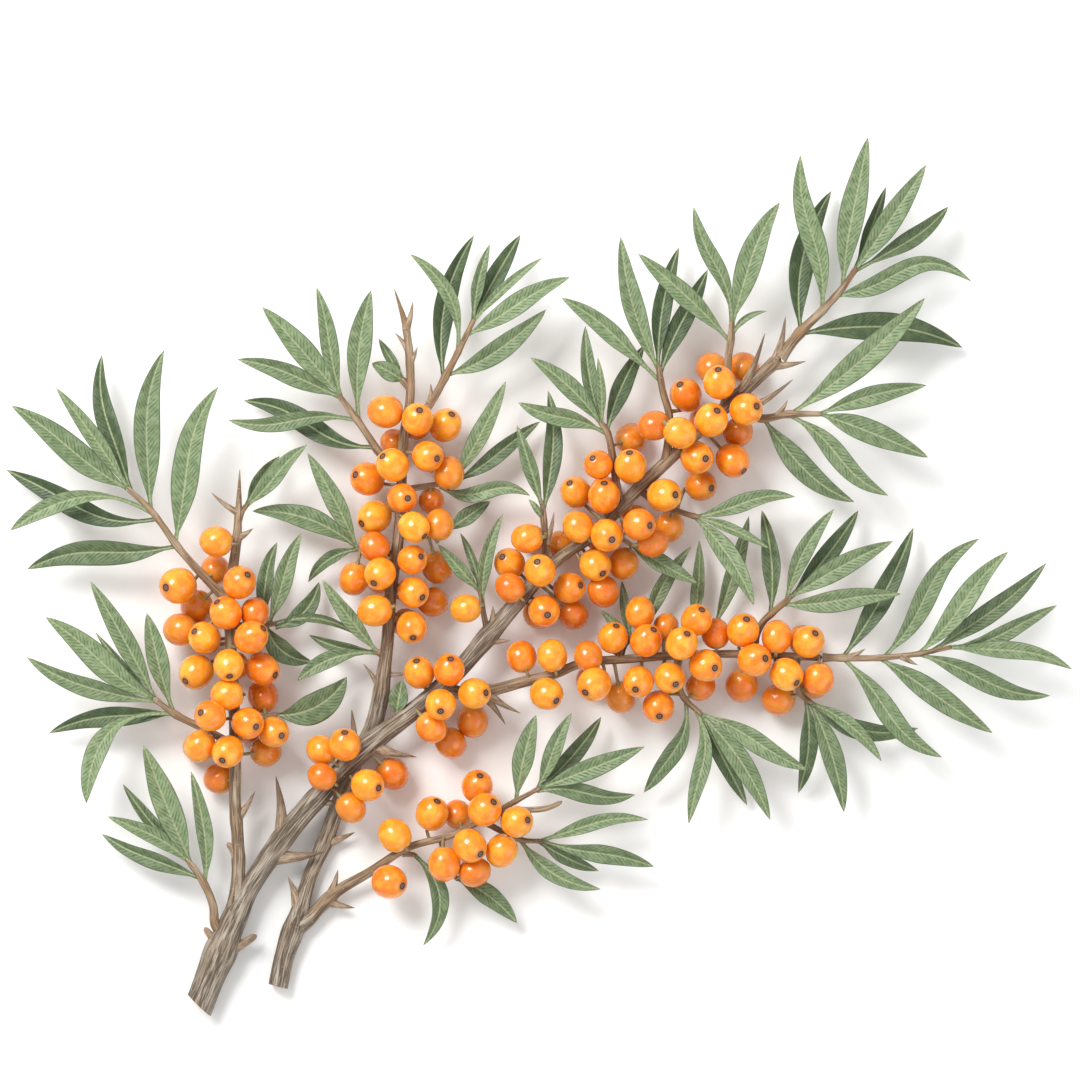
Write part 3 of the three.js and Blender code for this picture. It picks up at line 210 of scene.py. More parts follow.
def grow_wood(growth, rows, sides, seed, knots=(), step=STEP, foot=FOOT_FLARE, cut=0, finish=BARK):
    """One round length of wood that ends rounded, or in a point. One that starts at a cut is open
    there, and cut is how far its left edge is cut back, in its own radii. Returns its first ring."""
    path = smooth_path(rows, step)
    centres, thick = path[:, :3], path[:, 3:]
    forward, left, up = frames(centres)
    along = lengths(centres)
    age = np.clip((thick - YOUNG) / (OLD - YOUNG), 0, 1)
    radius = thick * (1 + foot * np.exp(-along / (FLARE_REACH * thick[0])))
    for knot in knots:
        away = np.linalg.norm(centres - knot[:3], axis=1, keepdims=True) / (KNOT_REACH * thick)
        radius = radius + KNOT_SWELL * thick * np.exp(-(away**2))
    to_end = np.clip((along[-1] - along) / min(ROUND_END, along[-1, 0] / 3), 0.02, 1)
    to_left, upward = circle(sides)
    grain = spread(thick * to_left, thick * upward, along)
    swell = 1 + (RELIEF[0] + RELIEF[1] * age) * furrows(grain, seed)
    reach = radius * np.sqrt(1 - (1 - to_end) ** 2) * swell
    fading = cut * np.maximum(1 - along / CUT_FADE, 0)
    cut_back = fading * reach * (CUT_SLANT + to_left) / (CUT_SLANT + 1)
    rings = rings_round(centres, left, up, reach * to_left, reach * upward)
    rings += cut_back[..., None] * forward[:, None]
    rings[..., 2] += np.maximum(-rings[..., 2].min(axis=1, keepdims=True), 0)
    tone = np.broadcast_to(age, reach.shape)
    start = None if cut else (rings[0].mean(axis=0), [0, 0, 0], age[0])
    end = (rings[-1].mean(axis=0), [0, 0, along[-1, 0]], age[-1])
    growth.loft(rings[:-1], grain[:-1], tone[:-1], seed, finish, start, end)
    return rings[0]


THORN_WAIST = 0.55  # radius of a thorn at half length, as a share of that at its foot
THORN_BEND = 0.035  # how far its middle stands off a straight line, as a share of its length


def thorn_path(row, bend=THORN_BEND):
    """A thorn or bud, which tapers faster over the first half of its length."""
    foot, radius, tip, tip_radius = np.array(row[:3]), row[3], np.array(row[4:7]), row[7]
    outward = bend if row[0] + row[1] > row[4] + row[5] else -bend
    middle = (foot + tip) / 2 + outward * np.cross((0, 0, 1), tip - foot)
    return [[*foot, radius], [*middle, radius * THORN_WAIST], [*tip, tip_radius]]


def grow_thorns(growth, rows):
    for order, row in enumerate(rows):
        grow_wood(growth, thorn_path(row), sides=14, seed=40 + order, foot=0, finish=THORN)


CUT_RINGS = np.array([1, 0.93, 0.9, 0.6, 0.3])[:, None]  # radii of the rings of points over a cut


def close_cut(growth, rim, seed):
    """The flat sawn end of a stem: bark outside, then pale wood in rings round a dark pith."""
    centre = rim.mean(axis=0)
    rings = centre + (rim[::-1] - centre) * CUT_RINGS[..., None]
    tone = np.broadcast_to(CUT_RINGS, rings.shape[:2])
    growth.loft(rings, rings - centre, tone, seed, CUT, end=(centre, [0, 0, 0], 0))


class Wire:
    """A value in the node tree of a finish. Arithmetic on it adds Math nodes, and node() adds any
    other kind, given its settings and the values or wires of its inputs."""

    def __init__(self, tree, socket=None):
        self.tree, self.socket = tree, socket

    def node(self, kind, settings=(), inputs=(), output=0):
        made = self.tree.nodes.new("ShaderNode" + kind)
        for name, value in dict(settings).items():
            setattr(made, name, value)
        for name, value in dict(inputs).items():
            if isinstance(value, Wire):
                self.tree.links.new(value.socket, made.inputs[name])
            else:
                made.inputs[name].default_value = value
        return Wire(self.tree, made.outputs[output] if made.outputs else None)

    def maths(self, operation, *others):
        return self.node("Math", {"operation": operation}, enumerate((self, *others)))

    def __add__(self, other):
        return self.maths("ADD", other)

    def __sub__(self, other):
        return self.maths("SUBTRACT", other)

    def __rsub__(self, other):
        return self * -1 + other

    def __mul__(self, other):
        return self.maths("MULTIPLY", other)

    __radd__ = __add__
    __rmul__ = __mul__

    def fade(self, low, high):
        """0 at low, 1 at high, and smooth between them."""
        inputs = {0: self, 1: low, 2: high}
        return self.node("MapRange", {"interpolation_type": "SMOOTHSTEP"}, inputs)

    def mix(self, *colours):
        """The first colour where this is 0, the second where it is 1."""
        first, second = [each if isinstance(each, Wire) else (*each, 1) for each in colours]
        return self.node("Mix", {"data_type": "RGBA"}, {0: self, 6: first, 7: second}, output=2)

    def cloudy(self, *colours):
        """The first colour in the thin parts of a noise, the second in its thick ones."""
        return self.fade(0.35, 0.65).mix(*colours)

    def placed(self, seed, *factors):
        """This place moved by a seed, then stretched by a factor along each axis."""
        moved = self.node("VectorMath", {"operation": "ADD"}, {0: self, 1: seed})
        return moved.node("VectorMath", {"operation": "MULTIPLY"}, {0: moved, 1: factors})

    def noise(self, scale, detail=3):
        """Cloudy values round 0.5 at this place, with so many clouds in a millimetre."""
        return self.node("TexNoise", (), {"Vector": self, "Scale": scale, "Detail": detail})

    def cells(self, scale):
        """Distance to the middle of the nearest of scattered cells."""
        return self.node("TexVoronoi", (), {"Vector": self, "Scale": scale})

    def part(self, axis):
        return self.node("SeparateXYZ", (), {0: self}, "XYZ".index(axis))


def new_finish(name, *kept):
    """A material, and a wire for each thing that it reads of a growth."""
    material = bpy.data.materials.new(name)
    material.use_nodes = True
    material.node_tree.nodes.clear()
    bare = Wire(material.node_tree)
    wires = [bare.node("Attribute", {"attribute_name": each}, output=KEPT[each][-1]) for each in kept]
    return material, *wires


def close_finish(material, colour, roughness, relief, depth, **shader):
    """Joins a finish to its surface. depth is the height of the relief in metres."""
    normal = colour.node("Bump", (), {"Distance": depth, "Height": relief})
    inputs = {"Base Color": colour, "Roughness": roughness, "Normal": normal}
    inputs |= {name.replace("_", " "): value for name, value in shader.items()}
    surface = colour.node("BsdfPrincipled", (), inputs)
    colour.node("OutputMaterial", (), {"Surface": surface})
    return material


def put(name, data):
    """A mesh, lamp or camera put in the scene."""
    thing = bpy.data.objects.new(name, data)
    bpy.context.scene.collection.objects.link(thing)
    return thing


def dress(node, growth, finishes):
    """Makes the piece that is shown in place of a node."""
    mesh = bpy.data.meshes.new("fine_" + node)
    mesh.from_pydata((np.vstack(growth.points) * MM).tolist(), [], growth.faces)
    for name, (kind, field, _) in KEPT.items():
        values = np.concatenate(getattr(growth, name)).astype(np.float32)
        mesh.attributes.new(name, kind, "POINT").data.foreach_set(field, np.ravel(values))
    for finish in finishes:
        mesh.materials.append(finish)
    mesh.polygons.foreach_set("material_index", growth.finish)
    mesh.shade_smooth()
    piece = put("fine_" + node, mesh)
    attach(piece, "root")
    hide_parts(node)


# A pair is the two colours that a finish wanders between, or for furrows those of young and old wood.
YOUNG_BARK = (0.3, 0.19, 0.1), (0.4, 0.3, 0.2)
OLD_BARK = (0.3, 0.235, 0.17), (0.42, 0.36, 0.29)
FURROW_BOTTOMS = (0.15, 0.085, 0.045), (0.09, 0.062, 0.042)
LENTICEL = (0.55, 0.46, 0.35)
THORN_WOOD = (0.2, 0.125, 0.07), (0.4, 0.3, 0.2)
THORN_POINT = (0.08, 0.04, 0.022)
YEARLY_RINGS = (0.62, 0.44, 0.24), (0.8, 0.66, 0.44)
BARK_EDGE = (0.09, 0.06, 0.035)
PITH = (0.3, 0.17, 0.08)


def bark_finish():
    """Grey-brown bark with long dark furrows, paler ridges and short pale lenticels across the wood.
    On young wood it is browner and smoother."""
    material, grain, tone, seed = new_finish("bark", "grain", "tone", "seed")
    place = grain.placed(seed, 1, 1, 0.055)
    fine = place.noise(3.6)
    ridge = (place.noise(0.9) * 0.45 + fine * 0.55).fade(0.36, 0.58)
    blotch = grain.placed(seed, 1, 1, 0.3).noise(0.4, 2)
    spots = grain.placed(seed, 0.45, 0.45, 1.3).cells(0.8).fade(0.17, 0.09)
    body = tone.mix(blotch.cloudy(*YOUNG_BARK), blotch.cloudy(*OLD_BARK))
    ridged = ridge.mix(tone.mix(*FURROW_BOTTOMS), body)
    colour = (spots * 0.5).mix(ridged, LENTICEL)
    relief = ridge * (tone * 0.6 + 0.4) + fine * 0.3 + spots * 0.2
    rough = fine * 0.2 + 0.6
    return close_finish(material, colour, rough, relief, depth=0.0003, Specular_IOR_Level=0.35)


def thorn_finish():
    """Thorns are harder and smoother than bark, and darken to the point."""
    material, grain, seed = new_finish("thorn", "grain", "seed")
    streak = grain.placed(seed, 1, 1, 0.2).noise(2.2)
    tip = grain.part("Z").fade(3, 12)
    colour = (tip * 0.7).mix(streak.cloudy(*THORN_WOOD), THORN_POINT)
    return close_finish(material, colour, streak * 0.2 + 0.42, streak, depth=0.00015)


def cut_finish():
    """A clean cut: a thin dark line of bark, pale wood with yearly rings, brown pith."""
    material, grain, tone = new_finish("cut_wood", "grain", "tone")
    rings = ((tone + grain.noise(1.2, 2) * 0.16) * 34).maths("SINE").fade(-0.6, 1)
    wood = rings.mix(*YEARLY_RINGS)
    colour = tone.fade(0.17, 0.11).mix(tone.fade(0.88, 0.93).mix(wood, BARK_EDGE), PITH)
    fibre = grain.noise(5)
    return close_finish(material, colour, fibre * 0.2 + 0.6, fibre + rings * 0.3, depth=0.0001)


bark = bark_finish()
thorn = thorn_finish()
cut_wood = cut_finish()

main_wood = Growth()
main_knots = [LEFT_BRANCH[0], RIGHT_BRANCH[0], *MAIN_THORNS]
rim = grow_wood(main_wood, MAIN_STEM, sides=40, seed=1, knots=main_knots, foot=0, cut=0.88)
close_cut(main_wood, rim, seed=1)
grow_wood(main_wood, LEFT_BRANCH, sides=28, seed=2, knots=main_knots)
grow_wood(main_wood, RIGHT_BRANCH, sides=24, seed=3, knots=main_knots, foot=0.2)
grow_thorns(main_wood, MAIN_THORNS)
dress("main_stem", main_wood, [bark, thorn, cut_wood])

# ---------------- second stem
# The thinner stem, cut beside the first: the same wood and bark. It passes under the main stem,
# carries one lower branch with a blunt bare tip, and ends in a fork of thorns.

SECOND_STEM = [
    [-65.3, -102.5, 2.6, 2.45], [-63.7, -95, 2.6, 2.5], [-61.8, -89, 2.7, 2.65], [-60, -84, 2.5, 2.1],
    [-57.4, -75, 2.3, 1.8], [-53.2, -65.2, 2.3, 1.95], [-50.5, -57.7, 2.3, 1.95], [-47, -48, 2.4, 2.1],
    [-41.7, -37.8, 3.4, 2.2], [-40, -32, 4.8, 2.1], [-38.6, -22.9, 7.2, 1.7], [-37.7, -14.9, 8.8, 1.6],
    [-37.1, -5.5, 10, 1.5], [-34.6, 14.5, 10.4, 1.4], [-34.1, 27, 10.6, 1.3], [-33.4, 37, 10.8, 1.2],
    [-32.2, 43.8, 11, 1.15], [-32.2, 54.6, 12, 1], [-33, 62, 12.8, 0.9], [-36.1, 72.6, 13.8, SHARP],
]

LOWER_BRANCH = [
    [-60.6, -87.6, 2.8, 2.1], [-57.5, -85.4, 2.9, 1.85], [-55, -82.8, 3.1, 1.6], [-52, -79.8, 3.4, 1.5],
    [-42.5, -73.8, 5, 1.2], [-32.2, -67.3, 7.8, 0.95], [-22.7, -64.6, 10, 0.85],
    [-8.1, -58.3, 10.4, 0.75], [3, -57.2, 11, 0.7], [6, -55.8, 11.4, 0.55],
]

SECOND_THORNS = [
    [-60.2, -83, 2.6, 1.7, -62.8, -74.7, 3.2, SHARP], [-54.2, -66.6, 2.4, 1.6, -45.9, -63.7, 3, SHARP],
    [-39.4, -28.4, 5.6, 1, -43.9, -21.4, 6.6, SHARP], [-38.8, -24, 6.8, 0.9, -33.7, -24, 7.6, 0.5],
    [-52.5, -80.2, 3.4, 1.4, -50.2, -72.9, 4.4, SHARP],
    [-53.5, -80.8, 3.4, 1.5, -45.9, -82.7, 3.6, SHARP], [-32.6, 57, 12.2, 0.9, -35.9, 61.3, 12.8, SHARP],
    [-32.2, 53.6, 12, 1, -30.2, 57.8, 12.6, SHARP], [-33.1, 62, 12.8, 1.1, -31.3, 69.2, 13.4, SHARP],
]

second_wood = Growth()
second_knots = [LOWER_BRANCH[0], *SECOND_THORNS]
rim = grow_wood(second_wood, SECOND_STEM, sides=32, seed=5, knots=second_knots, foot=0, cut=0.11)
close_cut(second_wood, rim, seed=5)
grow_wood(second_wood, LOWER_BRANCH, sides=24, seed=6, knots=second_knots, foot=0)
grow_thorns(second_wood, SECOND_THORNS)
dress("second_stem", second_wood, [bark, thorn, cut_wood])

# ---------------- leafy shoots
# Short side shoots: a thin brown twig with its narrow leaves, each folded along a groove over the
# midrib, with edges turned down, grey-green above and silvery below. A leaf grows out of the twig.

# A shoot is its twig, its leaves and its thorns. A leaf is
# [root x, root y, tip x, tip y, width, bow, sway, lift, fullest]. Bow is the sideways offset of the
# midrib at half length, to the left on the way to the tip; sway adds an S to it; lift is the height
# of the tip over the root; fullest is the share of its length at which the leaf is widest, where
# that isn't FULLEST. Leaves behind their neighbours drop and those in front rise.
SHOOTS = {
    "leafy_shoot_left_top": ([
        [-77.5, -6, 11, 1.1], [-85.3, 2.2, 11.6, 1], [-90.6, 8.4, 12.2, 0.9], [-94.2, 13.5, 12.6, 0.8],
        [-97, 17.1, 13, 0.75], [-103, 22.7, 13.6, 0.6],
    ], [
        [-102.6, 22.3, -131.6, 43.1, 6.8, 0.2, 0.5, 1.5, 0.43],
        [-102.6, 22.5, -120.3, 47.5, 4.3, -0.5, 0, 5], [-101.8, 22, -109.3, 56, 5.4, 2.1, -0.6, -8],
        [-96.8, 17.2, -93.5, 56.9, 6.9, 2.7, -0.5, 1.5],
        [-90.6, 9.6, -79.9, 47.8, 7.2, 2.4, -0.8, 3, 0.43],
        [-95, 14.8, -133.3, 27.1, 5.8, 3.5, 1.1, -9, 0.52],
        [-95.6, 15.6, -131.8, 11.8, 4.6, -6.5, -0.4, 4, 0.66],
        [-90.2, 8, -127.9, 2.2, 6.6, -1.3, 1, -4, 0.5],
    ], []),
    "leafy_shoot_left_tip": ([
        [-75, 14.2, 12.1, 0.7], [-73.6, 17.3, 12.4, 0.6], [-72.5, 18.7, 12.6, 0.5],
    ], [
        [-73, 18, -57.8, 33.2, 4.5, 0.2, -0.4, 2], [-73, 18, -64.8, 30.5, 3.6, 0.6, 0, -7],
    ], []),
    "leafy_shoot_left_middle": ([
        [-75.8, -42, 10.4, 1], [-84, -37.5, 10.4, 0.95], [-90.4, -34.3, 11.2, 0.85],
        [-96.4, -29.9, 12, 0.6],
    ], [
        [-95.4, -30.8, -127.9, -19.7, 5, 2.2, -0.2, 1, 0.48],
        [-96, -30.2, -123, -9.7, 6.6, 0.5, 0.6, 4.5], [-96.2, -30, -111, -13.5, 2.3, 0.5, 0, -7],
        [-95.8, -30.2, -111.9, -0.8, 5.3, -0.4, 0, 2], [-91.4, -33, -97.8, -8.7, 5.4, 0.4, 0.1, 3, 0.52],
        [-90.6, -33.9, -122.6, -38.9, 5.2, -1.8, 0.4, -7],
        [-90.4, -34, -112.8, -56.2, 5.4, -8.6, -0.5, 5, 0.66],
    ], []),
    "leafy_shoot_left_low": ([
        [-78, -90, 4.6, 1.3], [-80.8, -87, 5.4, 1.2], [-81.4, -82.3, 6.4, 1.05], [-84.6, -74.8, 8, 0.85],
        [-88.4, -69.8, 9, 0.55],
    ], [
        [-84.4, -75.2, -109.4, -64.1, 4.4, 0.7, -0.3, -3],
        [-86.4, -72.4, -107.7, -59.6, 4.2, -1.8, -0.3, 3.5], [-88, -70.2, -104.1, -51.6, 3.5, 0.8, 0, -4],
        [-86.8, -71.8, -98.7, -41.7, 6.8, 0.2, 0, 5], [-83.6, -76.6, -86.9, -48.3, 4.2, -1.5, -0.2, 2],
    ], []),
    "leafy_shoot_left_inner": ([
        [-77, -12, 10.8, 0.9], [-72, -11.8, 9, 0.8], [-65.4, -11.4, 9, 0.6],
    ], [
        [-69.6, -11.6, -65.4, 9, 4.2, 0.8, -0.3, -4], [-67.4, -11.4, -59.2, 11.3, 4.8, 0.4, -0.3, 3],
        [-65.8, -12.4, -55, -1, 4.7, -2.5, 0, -5], [-65.8, -11.4, -45.2, -14.5, 2.3, 2.8, 0, -4],
        [-68, -12, -56.8, -20.9, 5.5, -2.5, 0, -4, 0.42],
    ], []),
    "leafy_shoot_left_single": ([
        [-76, -36, 10.4, 0.9], [-70, -35, 8.6, 0.8], [-65, -34, 8.6, 0.6],
    ], [
        [-66, -34.2, -48, -24.8, 8, -3.1, 0, -2],
    ], []),
    "leafy_shoot_middle_left": ([
        [-34.1, 26, 10.6, 1], [-40, 31.6, 11.4, 1], [-42.9, 36, 12, 0.9], [-48, 43.2, 13, 0.75],
        [-50, 45.8, 13.4, 0.55],
    ], [
        [-49.4, 45, -75.2, 54.6, 5.2, -1.1, 0.2, 0], [-49.6, 45.4, -68.9, 67.6, 6.1, -0.4, 0, 5],
        [-49.4, 45.4, -55.4, 72.6, 4.5, -0.1, 0.3, 2], [-45, 40, -41.8, 71.8, 6.1, 1.5, 0, 4, 0.54],
        [-40.2, 32.6, -73.9, 44.4, 5.7, 0.5, 1.5, -8.5, 0.52],
        [-45.4, 39.4, -77.6, 39.5, 4.3, 0.2, -1.1, 0, 0.52],
    ], []),
    "leafy_shoot_middle_tip": ([
        [-32.2, 47.5, 11.2, 0.8], [-34.8, 50.4, 11.4, 0.7],
    ], [
        [-33.8, 49.4, -40, 59.9, 2.6, 0, 0, -3], [-33.4, 49, -41.6, 53.6, 4.7, -0.3, 0, 1.5],
    ], []),
    "leafy_shoot_middle_right": ([
        [-33.2, 39, 10.9, 1], [-28.6, 41.6, 10.8, 1], [-26.4, 44.6, 11.6, 1], [-23.1, 50.6, 12.6, 0.9],
        [-19.9, 56.8, 13.6, 0.8], [-16, 64.9, 14.4, 0.55],
    ], [
        [-20.2, 56.4, -32.1, 80.8, 3.8, -4.3, -0.1, 5, 0.54], [-23.7, 50, -16.1, 85.9, 5.5, 3.5, 0, -9],
        [-16.3, 64.4, -12.1, 83.4, 3.2, 0.8, 0, 1], [-16.2, 64.6, -4.5, 85.9, 4.8, 0.3, 0, -8],
        [-16.4, 64, 1, 79.9, 2.5, 0.9, 0, 3], [-18, 60.6, 7.8, 75, 5.5, 0.5, -0.4, 4],
        [-23.2, 50.6, 1.9, 67, 5.7, -1.9, -0.2, 2],
    ], [
        [-27.2, 43.6, 11.4, 1, -26.9, 48.6, 12.4, SHARP],
    ]),
    "leafy_shoot_middle_inner": ([
        [-34.3, 22, 10.5, 0.8], [-28, 23, 8.4, 0.75], [-20.6, 24.2, 8.2, 0.55],
    ], [
        [-21.4, 24.2, -8.1, 49.2, 4.8, -0.6, 0, 4], [-21, 24, 0.4, 39.2, 4.3, -0.5, -0.3, -4],
        [-24.6, 22.9, -2.1, 20.6, 4.2, -0.1, -1.5, 3],
    ], []),
    "leafy_shoot_middle_dark": ([
        [-34.9, 11, 10.3, 0.8], [-28.4, 10.4, 7.6, 0.7], [-22.4, 12, 7.2, 0.5],
    ], [
        [-23, 11.8, -12.1, 19.2, 4.3, 0, 0, -2],
    ], []),
    "leafy_shoot_middle_outer": ([
        [-35.8, 6, 10.3, 0.8], [-41, 6.5, 8.2, 0.7], [-46, 7.6, 8.4, 0.55],
    ], [
        [-45.4, 7.4, -57.7, 31.2, 5, -0.6, 0, 4], [-45.4, 7.6, -71.6, 16.7, 5.8, -2.8, 0, 1],
        [-45.2, 7.2, -57.7, -1.1, 3.4, -1.9, 0, -4],
    ], []),
    "leafy_shoot_middle_low": ([
        [-38.2, -19.6, 7.9, 0.8], [-41.2, -18, 8.4, 0.55],
    ], [
        [-40.2, -18.6, -54, -0.4, 4.2, 0.4, 0, 5], [-40.4, -18.4, -57.5, -14.3, 3.3, 1.2, 0, -5],
        [-40.2, -18.8, -60.3, -25.7, 4.3, -2.5, 0, 1, 0.58],
    ], []),
    "leaf_in_fork": ([
        [-35.4, -36.4, 8.6, 0.7], [-35.8, -33.4, 8.6, 0.6],
    ], [
        [-35.7, -34.4, -34.2, -25.6, 5, 0, 0, -0.5],
    ], []),
    "leafy_shoot_fork": ([
        [-12.6, -14.2, 9.9, 0.8], [-13.6, -9.5, 10.8, 0.7], [-14.8, -2.2, 11.6, 0.5],
    ], [
        [-14.6, -3.4, -25.1, 8.4, 3.4, 0, 0, 2.5], [-14.7, -2.8, -19.6, 11.3, 2.3, -0.7, 0, -3],
        [-13.9, -7, -8.8, 16.1, 3.5, 1.8, 0, 3],
    ], []),
    "leafy_shoot_centre": ([
        [1.5, 1.2, 10.3, 1.1], [1.9, 6.7, 11.4, 1], [1.5, 12, 12, 0.9], [1, 19, 12.6, 0.55],
    ], [
        [1, 17.8, -5.4, 38.3, 3.7, 0, 0, -1], [1.1, 16.4, 2.4, 46.9, 4.8, -1.8, 0.2, -6],
        [1.2, 14.4, -2.5, 19.7, 1.7, -0.3, 0, 1],
    ], [
        [1.9, 8.6, 11.6, 1, 3.9, 16.6, 13, SHARP],
    ]),
    "leafy_shoot_upper_left": ([
        [20.4, 17.8, 10.4, 1.1], [19.4, 24, 11.2, 1], [18.4, 31, 12, 0.95], [17.1, 36.5, 12.8, 0.8],
        [15.4, 39.2, 13.2, 0.6],
    ], [
        [16.6, 36.3, -5.1, 43.8, 4.8, -0.1, -0.5, 3.5, 0.5], [15.8, 38.2, -2, 55, 5, -1.3, 0, 2],
        [15.5, 38.8, 11.7, 63, 4, 1, 0, -1], [15.7, 38.4, 14.8, 55, 2.4, -0.4, 0, 4],
        [17, 36.4, 26.6, 58.3, 4.9, 1.1, 0, -8],
    ], []),
    "leafy_shoot_upper_middle": ([
        [31.8, 28.8, 10.4, 1.1], [32.4, 34, 11.4, 1], [32.8, 39.7, 12.2, 0.95], [30.9, 47.3, 13, 0.85],
        [29.9, 53.4, 13.6, 0.6],
    ], [
        [30.5, 49, 5.7, 69.9, 5, -1.3, 0.3, 3.5, 0.56], [30, 52, 20.5, 85.2, 5.5, 1.8, 0, 4],
        [29.9, 52.8, 35.2, 82.8, 4.8, 1.5, 0, -9], [30.3, 50.6, 42.4, 77.3, 5.1, 0.5, 0.3, -9],
    ], []),
    "leafy_shoot_upper_right": ([
        [46.4, 42.4, 10.5, 1], [47.2, 50, 11.4, 1], [47.4, 54.9, 12.2, 0.95], [48.1, 60, 13, 0.85],
        [48.3, 64.4, 13.6, 0.6],
    ], [
        [47.9, 59, 24.8, 81, 5.2, -0.6, -0.1, 4, 0.5], [48.2, 63.6, 38.7, 92.6, 4.3, -0.6, -1, 3, 0.52],
        [48.4, 63.6, 60.2, 93.7, 6.5, 1.5, -0.3, 3], [48.2, 60.4, 57.1, 66.6, 1.7, 1.6, 0, 1],
    ], []),
    "leafy_shoot_crown": ([
        [60.4, 55.1, 11, 1.35], [65.8, 61.8, 11.6, 1.2], [71.3, 67.2, 12.2, 1], [76.1, 72.7, 12.8, 0.8],
        [79.6, 77.8, 13.2, 0.6],
    ], [
        [70.9, 67.2, 65.3, 105.5, 5.9, 0.1, -1.1, 6], [65.6, 61.4, 73.4, 97, 6.3, 3.5, 0, -9],
        [76, 73, 82.2, 110, 6.6, 0.6, 0.2, 3], [79.2, 77.4, 87, 98, 3.3, -0.2, 0, -8],
        [78.8, 76.6, 96.7, 103.1, 5.8, -0.3, 0, 3], [79.2, 76.8, 102.5, 92.9, 4.6, -1.4, 0.3, -5, 0.55],
        [74.2, 70.4, 108.1, 74, 5.2, 4.4, -2.1, 2, 0.4], [65.6, 61, 106.2, 57.7, 7.4, 3.5, -0.3, -8],
    ], []),
    "leafy_shoot_right_top": ([
        [49, 44.6, 10.5, 1], [54.9, 40, 10.4, 1], [62.2, 40.9, 11.4, 0.9], [71, 41, 12.4, 0.6],
    ], [
        [63, 41, 96.4, 69.9, 7, -1.4, 0, 5.5, 0.5], [70.4, 41, 96.8, 48.1, 5.1, 1.1, 0, 2],
        [70.4, 41, 97.3, 30.1, 6.3, 0.4, 0, 1, 0.42], [62.6, 40.8, 87.3, 20.6, 5.3, -0.3, 1.1, 2, 0.5],
        [56.2, 40, 79, 19, 6, -2.5, 0.3, -1],
    ], [
        [52.4, 42.1, 10.6, 1.2, 63.7, 49.7, 12, SHARP], [59.6, 40.4, 11, 1, 62.3, 44.6, 12, SHARP],
    ]),
    "leafy_shoot_right_inner": ([
        [25, 22.3, 10.4, 0.9], [30, 18.5, 8.8, 0.8], [35.4, 16.5, 9.6, 0.75], [40.4, 15, 10.4, 0.55],
    ], [
        [39.4, 15.3, 64.1, 20.3, 4.5, 1.1, -0.6, 2], [39, 15.4, 57.6, 7.4, 2.8, 0.7, 0, 2.6],
        [38.8, 15.5, 53.8, -6.8, 5.4, 1.6, 0, 4.5],
    ], []),
    "leafy_shoot_centre_single": ([
        [15.6, 12.8, 10.4, 0.8], [20, 10.4, 9.6, 0.7], [23.4, 8.2, 9.8, 0.55],
    ], [
        [22.4, 8.8, 39.7, -1.3, 4.6, -0.3, 0, 2],
    ], []),
    "leafy_shoot_behind": ([
        [20, -20.5, 10, 0.9], [22.6, -15.4, 5.6, 0.85], [28, -13.6, 3.8, 0.8], [38, -13.8, 3.5, 0.7],
        [44.4, -12.6, 3.8, 0.55],
    ], [
        [22.6, -15.4, 15.8, -8.2, 2.6, 0, 0, 0], [23, -15.2, 20.8, -0.7, 2.8, 0, 0, -1],
        [26.6, -14, 38.3, 7.9, 4, 1.7, 0, 1], [38, -13.8, 40.2, 9.6, 3.4, -0.9, 0, 1],
        [44, -12.6, 52.7, 15.5, 4.4, -0.5, 0, 1.4],
    ], []),
    "leafy_shoot_right_middle": ([
        [54, -19.3, 10.2, 1], [54.6, -14, 8.8, 0.95], [56, -11.2, 9.2, 0.9], [58.6, -8.6, 10.2, 0.85],
        [63.2, -4.6, 11.4, 0.6],
    ], [
        [58, -8.6, 55.9, 17, 4.7, -1.3, 0, -6], [62, -5.5, 73.8, 17.2, 4.5, 1.8, 0, 3],
        [62.9, -4.8, 80.1, 16.9, 5, -0.8, 0, -7], [62.6, -5.1, 88.5, 9.2, 5.5, 0.7, 0, 2],
        [60.6, -6.6, 90.5, -4, 5.6, -0.2, -0.4, 3],
    ], []),
    "leafy_shoot_right_end": ([
        [71, -19.9, 10.4, 0.9], [86.1, -19.9, 11, 0.75], [94.5, -19, 11.6, 0.65],
        [103.4, -17.2, 12.2, 0.5],
    ], [
        [76, -19.9, 93.9, 12.6, 5.8, -1.4, 0, -7], [86.4, -19.8, 110.1, 9.9, 5.7, 1.7, -1.4, 3],
        [95, -18.9, 117.2, 6.6, 5.8, 0.1, -0.7, 5], [98.3, -18.2, 127, 3.7, 5.2, -1.2, 0.2, -3],
        [102.6, -17.3, 129.5, -6.8, 4.3, -1.6, -0.5, 1], [102.6, -17.3, 133.2, -22.8, 4.5, 2, -0.5, 3],
        [95, -19, 127.9, -29.4, 5.4, -1.3, 0.9, 0], [85, -19.9, 113.4, -38.7, 6, 0, 0.2, 1],
        [76, -19.9, 100.8, -44.8, 5.5, -1.7, 1.1, 2, 0.5],
    ], [
        [77.4, -19.9, 10.7, 1, 81.8, -17.6, 11.2, SHARP],
        [90.6, -19.4, 11.4, 1, 94.9, -21.8, 11.8, SHARP],
    ]),
    "leafy_shoot_right_low": ([
        [64.5, -19.7, 10.3, 0.9], [64.6, -25, 8.4, 0.8], [65.6, -29, 8.2, 0.75], [68.8, -31.6, 8.6, 0.55],
    ], [
        [68.2, -31.3, 85.7, -45.8, 3.8, 1.9, 0, 3], [68.2, -31.3, 95.2, -37.6, 5, -3.7, 0, -5],
        [68, -31.2, 76.4, -58.6, 5.5, 1.3, 0, 0], [66.8, -30.2, 65.1, -53.9, 4.6, 1.6, 0, -5],
    ], []),
    "leafy_shoot_right_hanging": ([
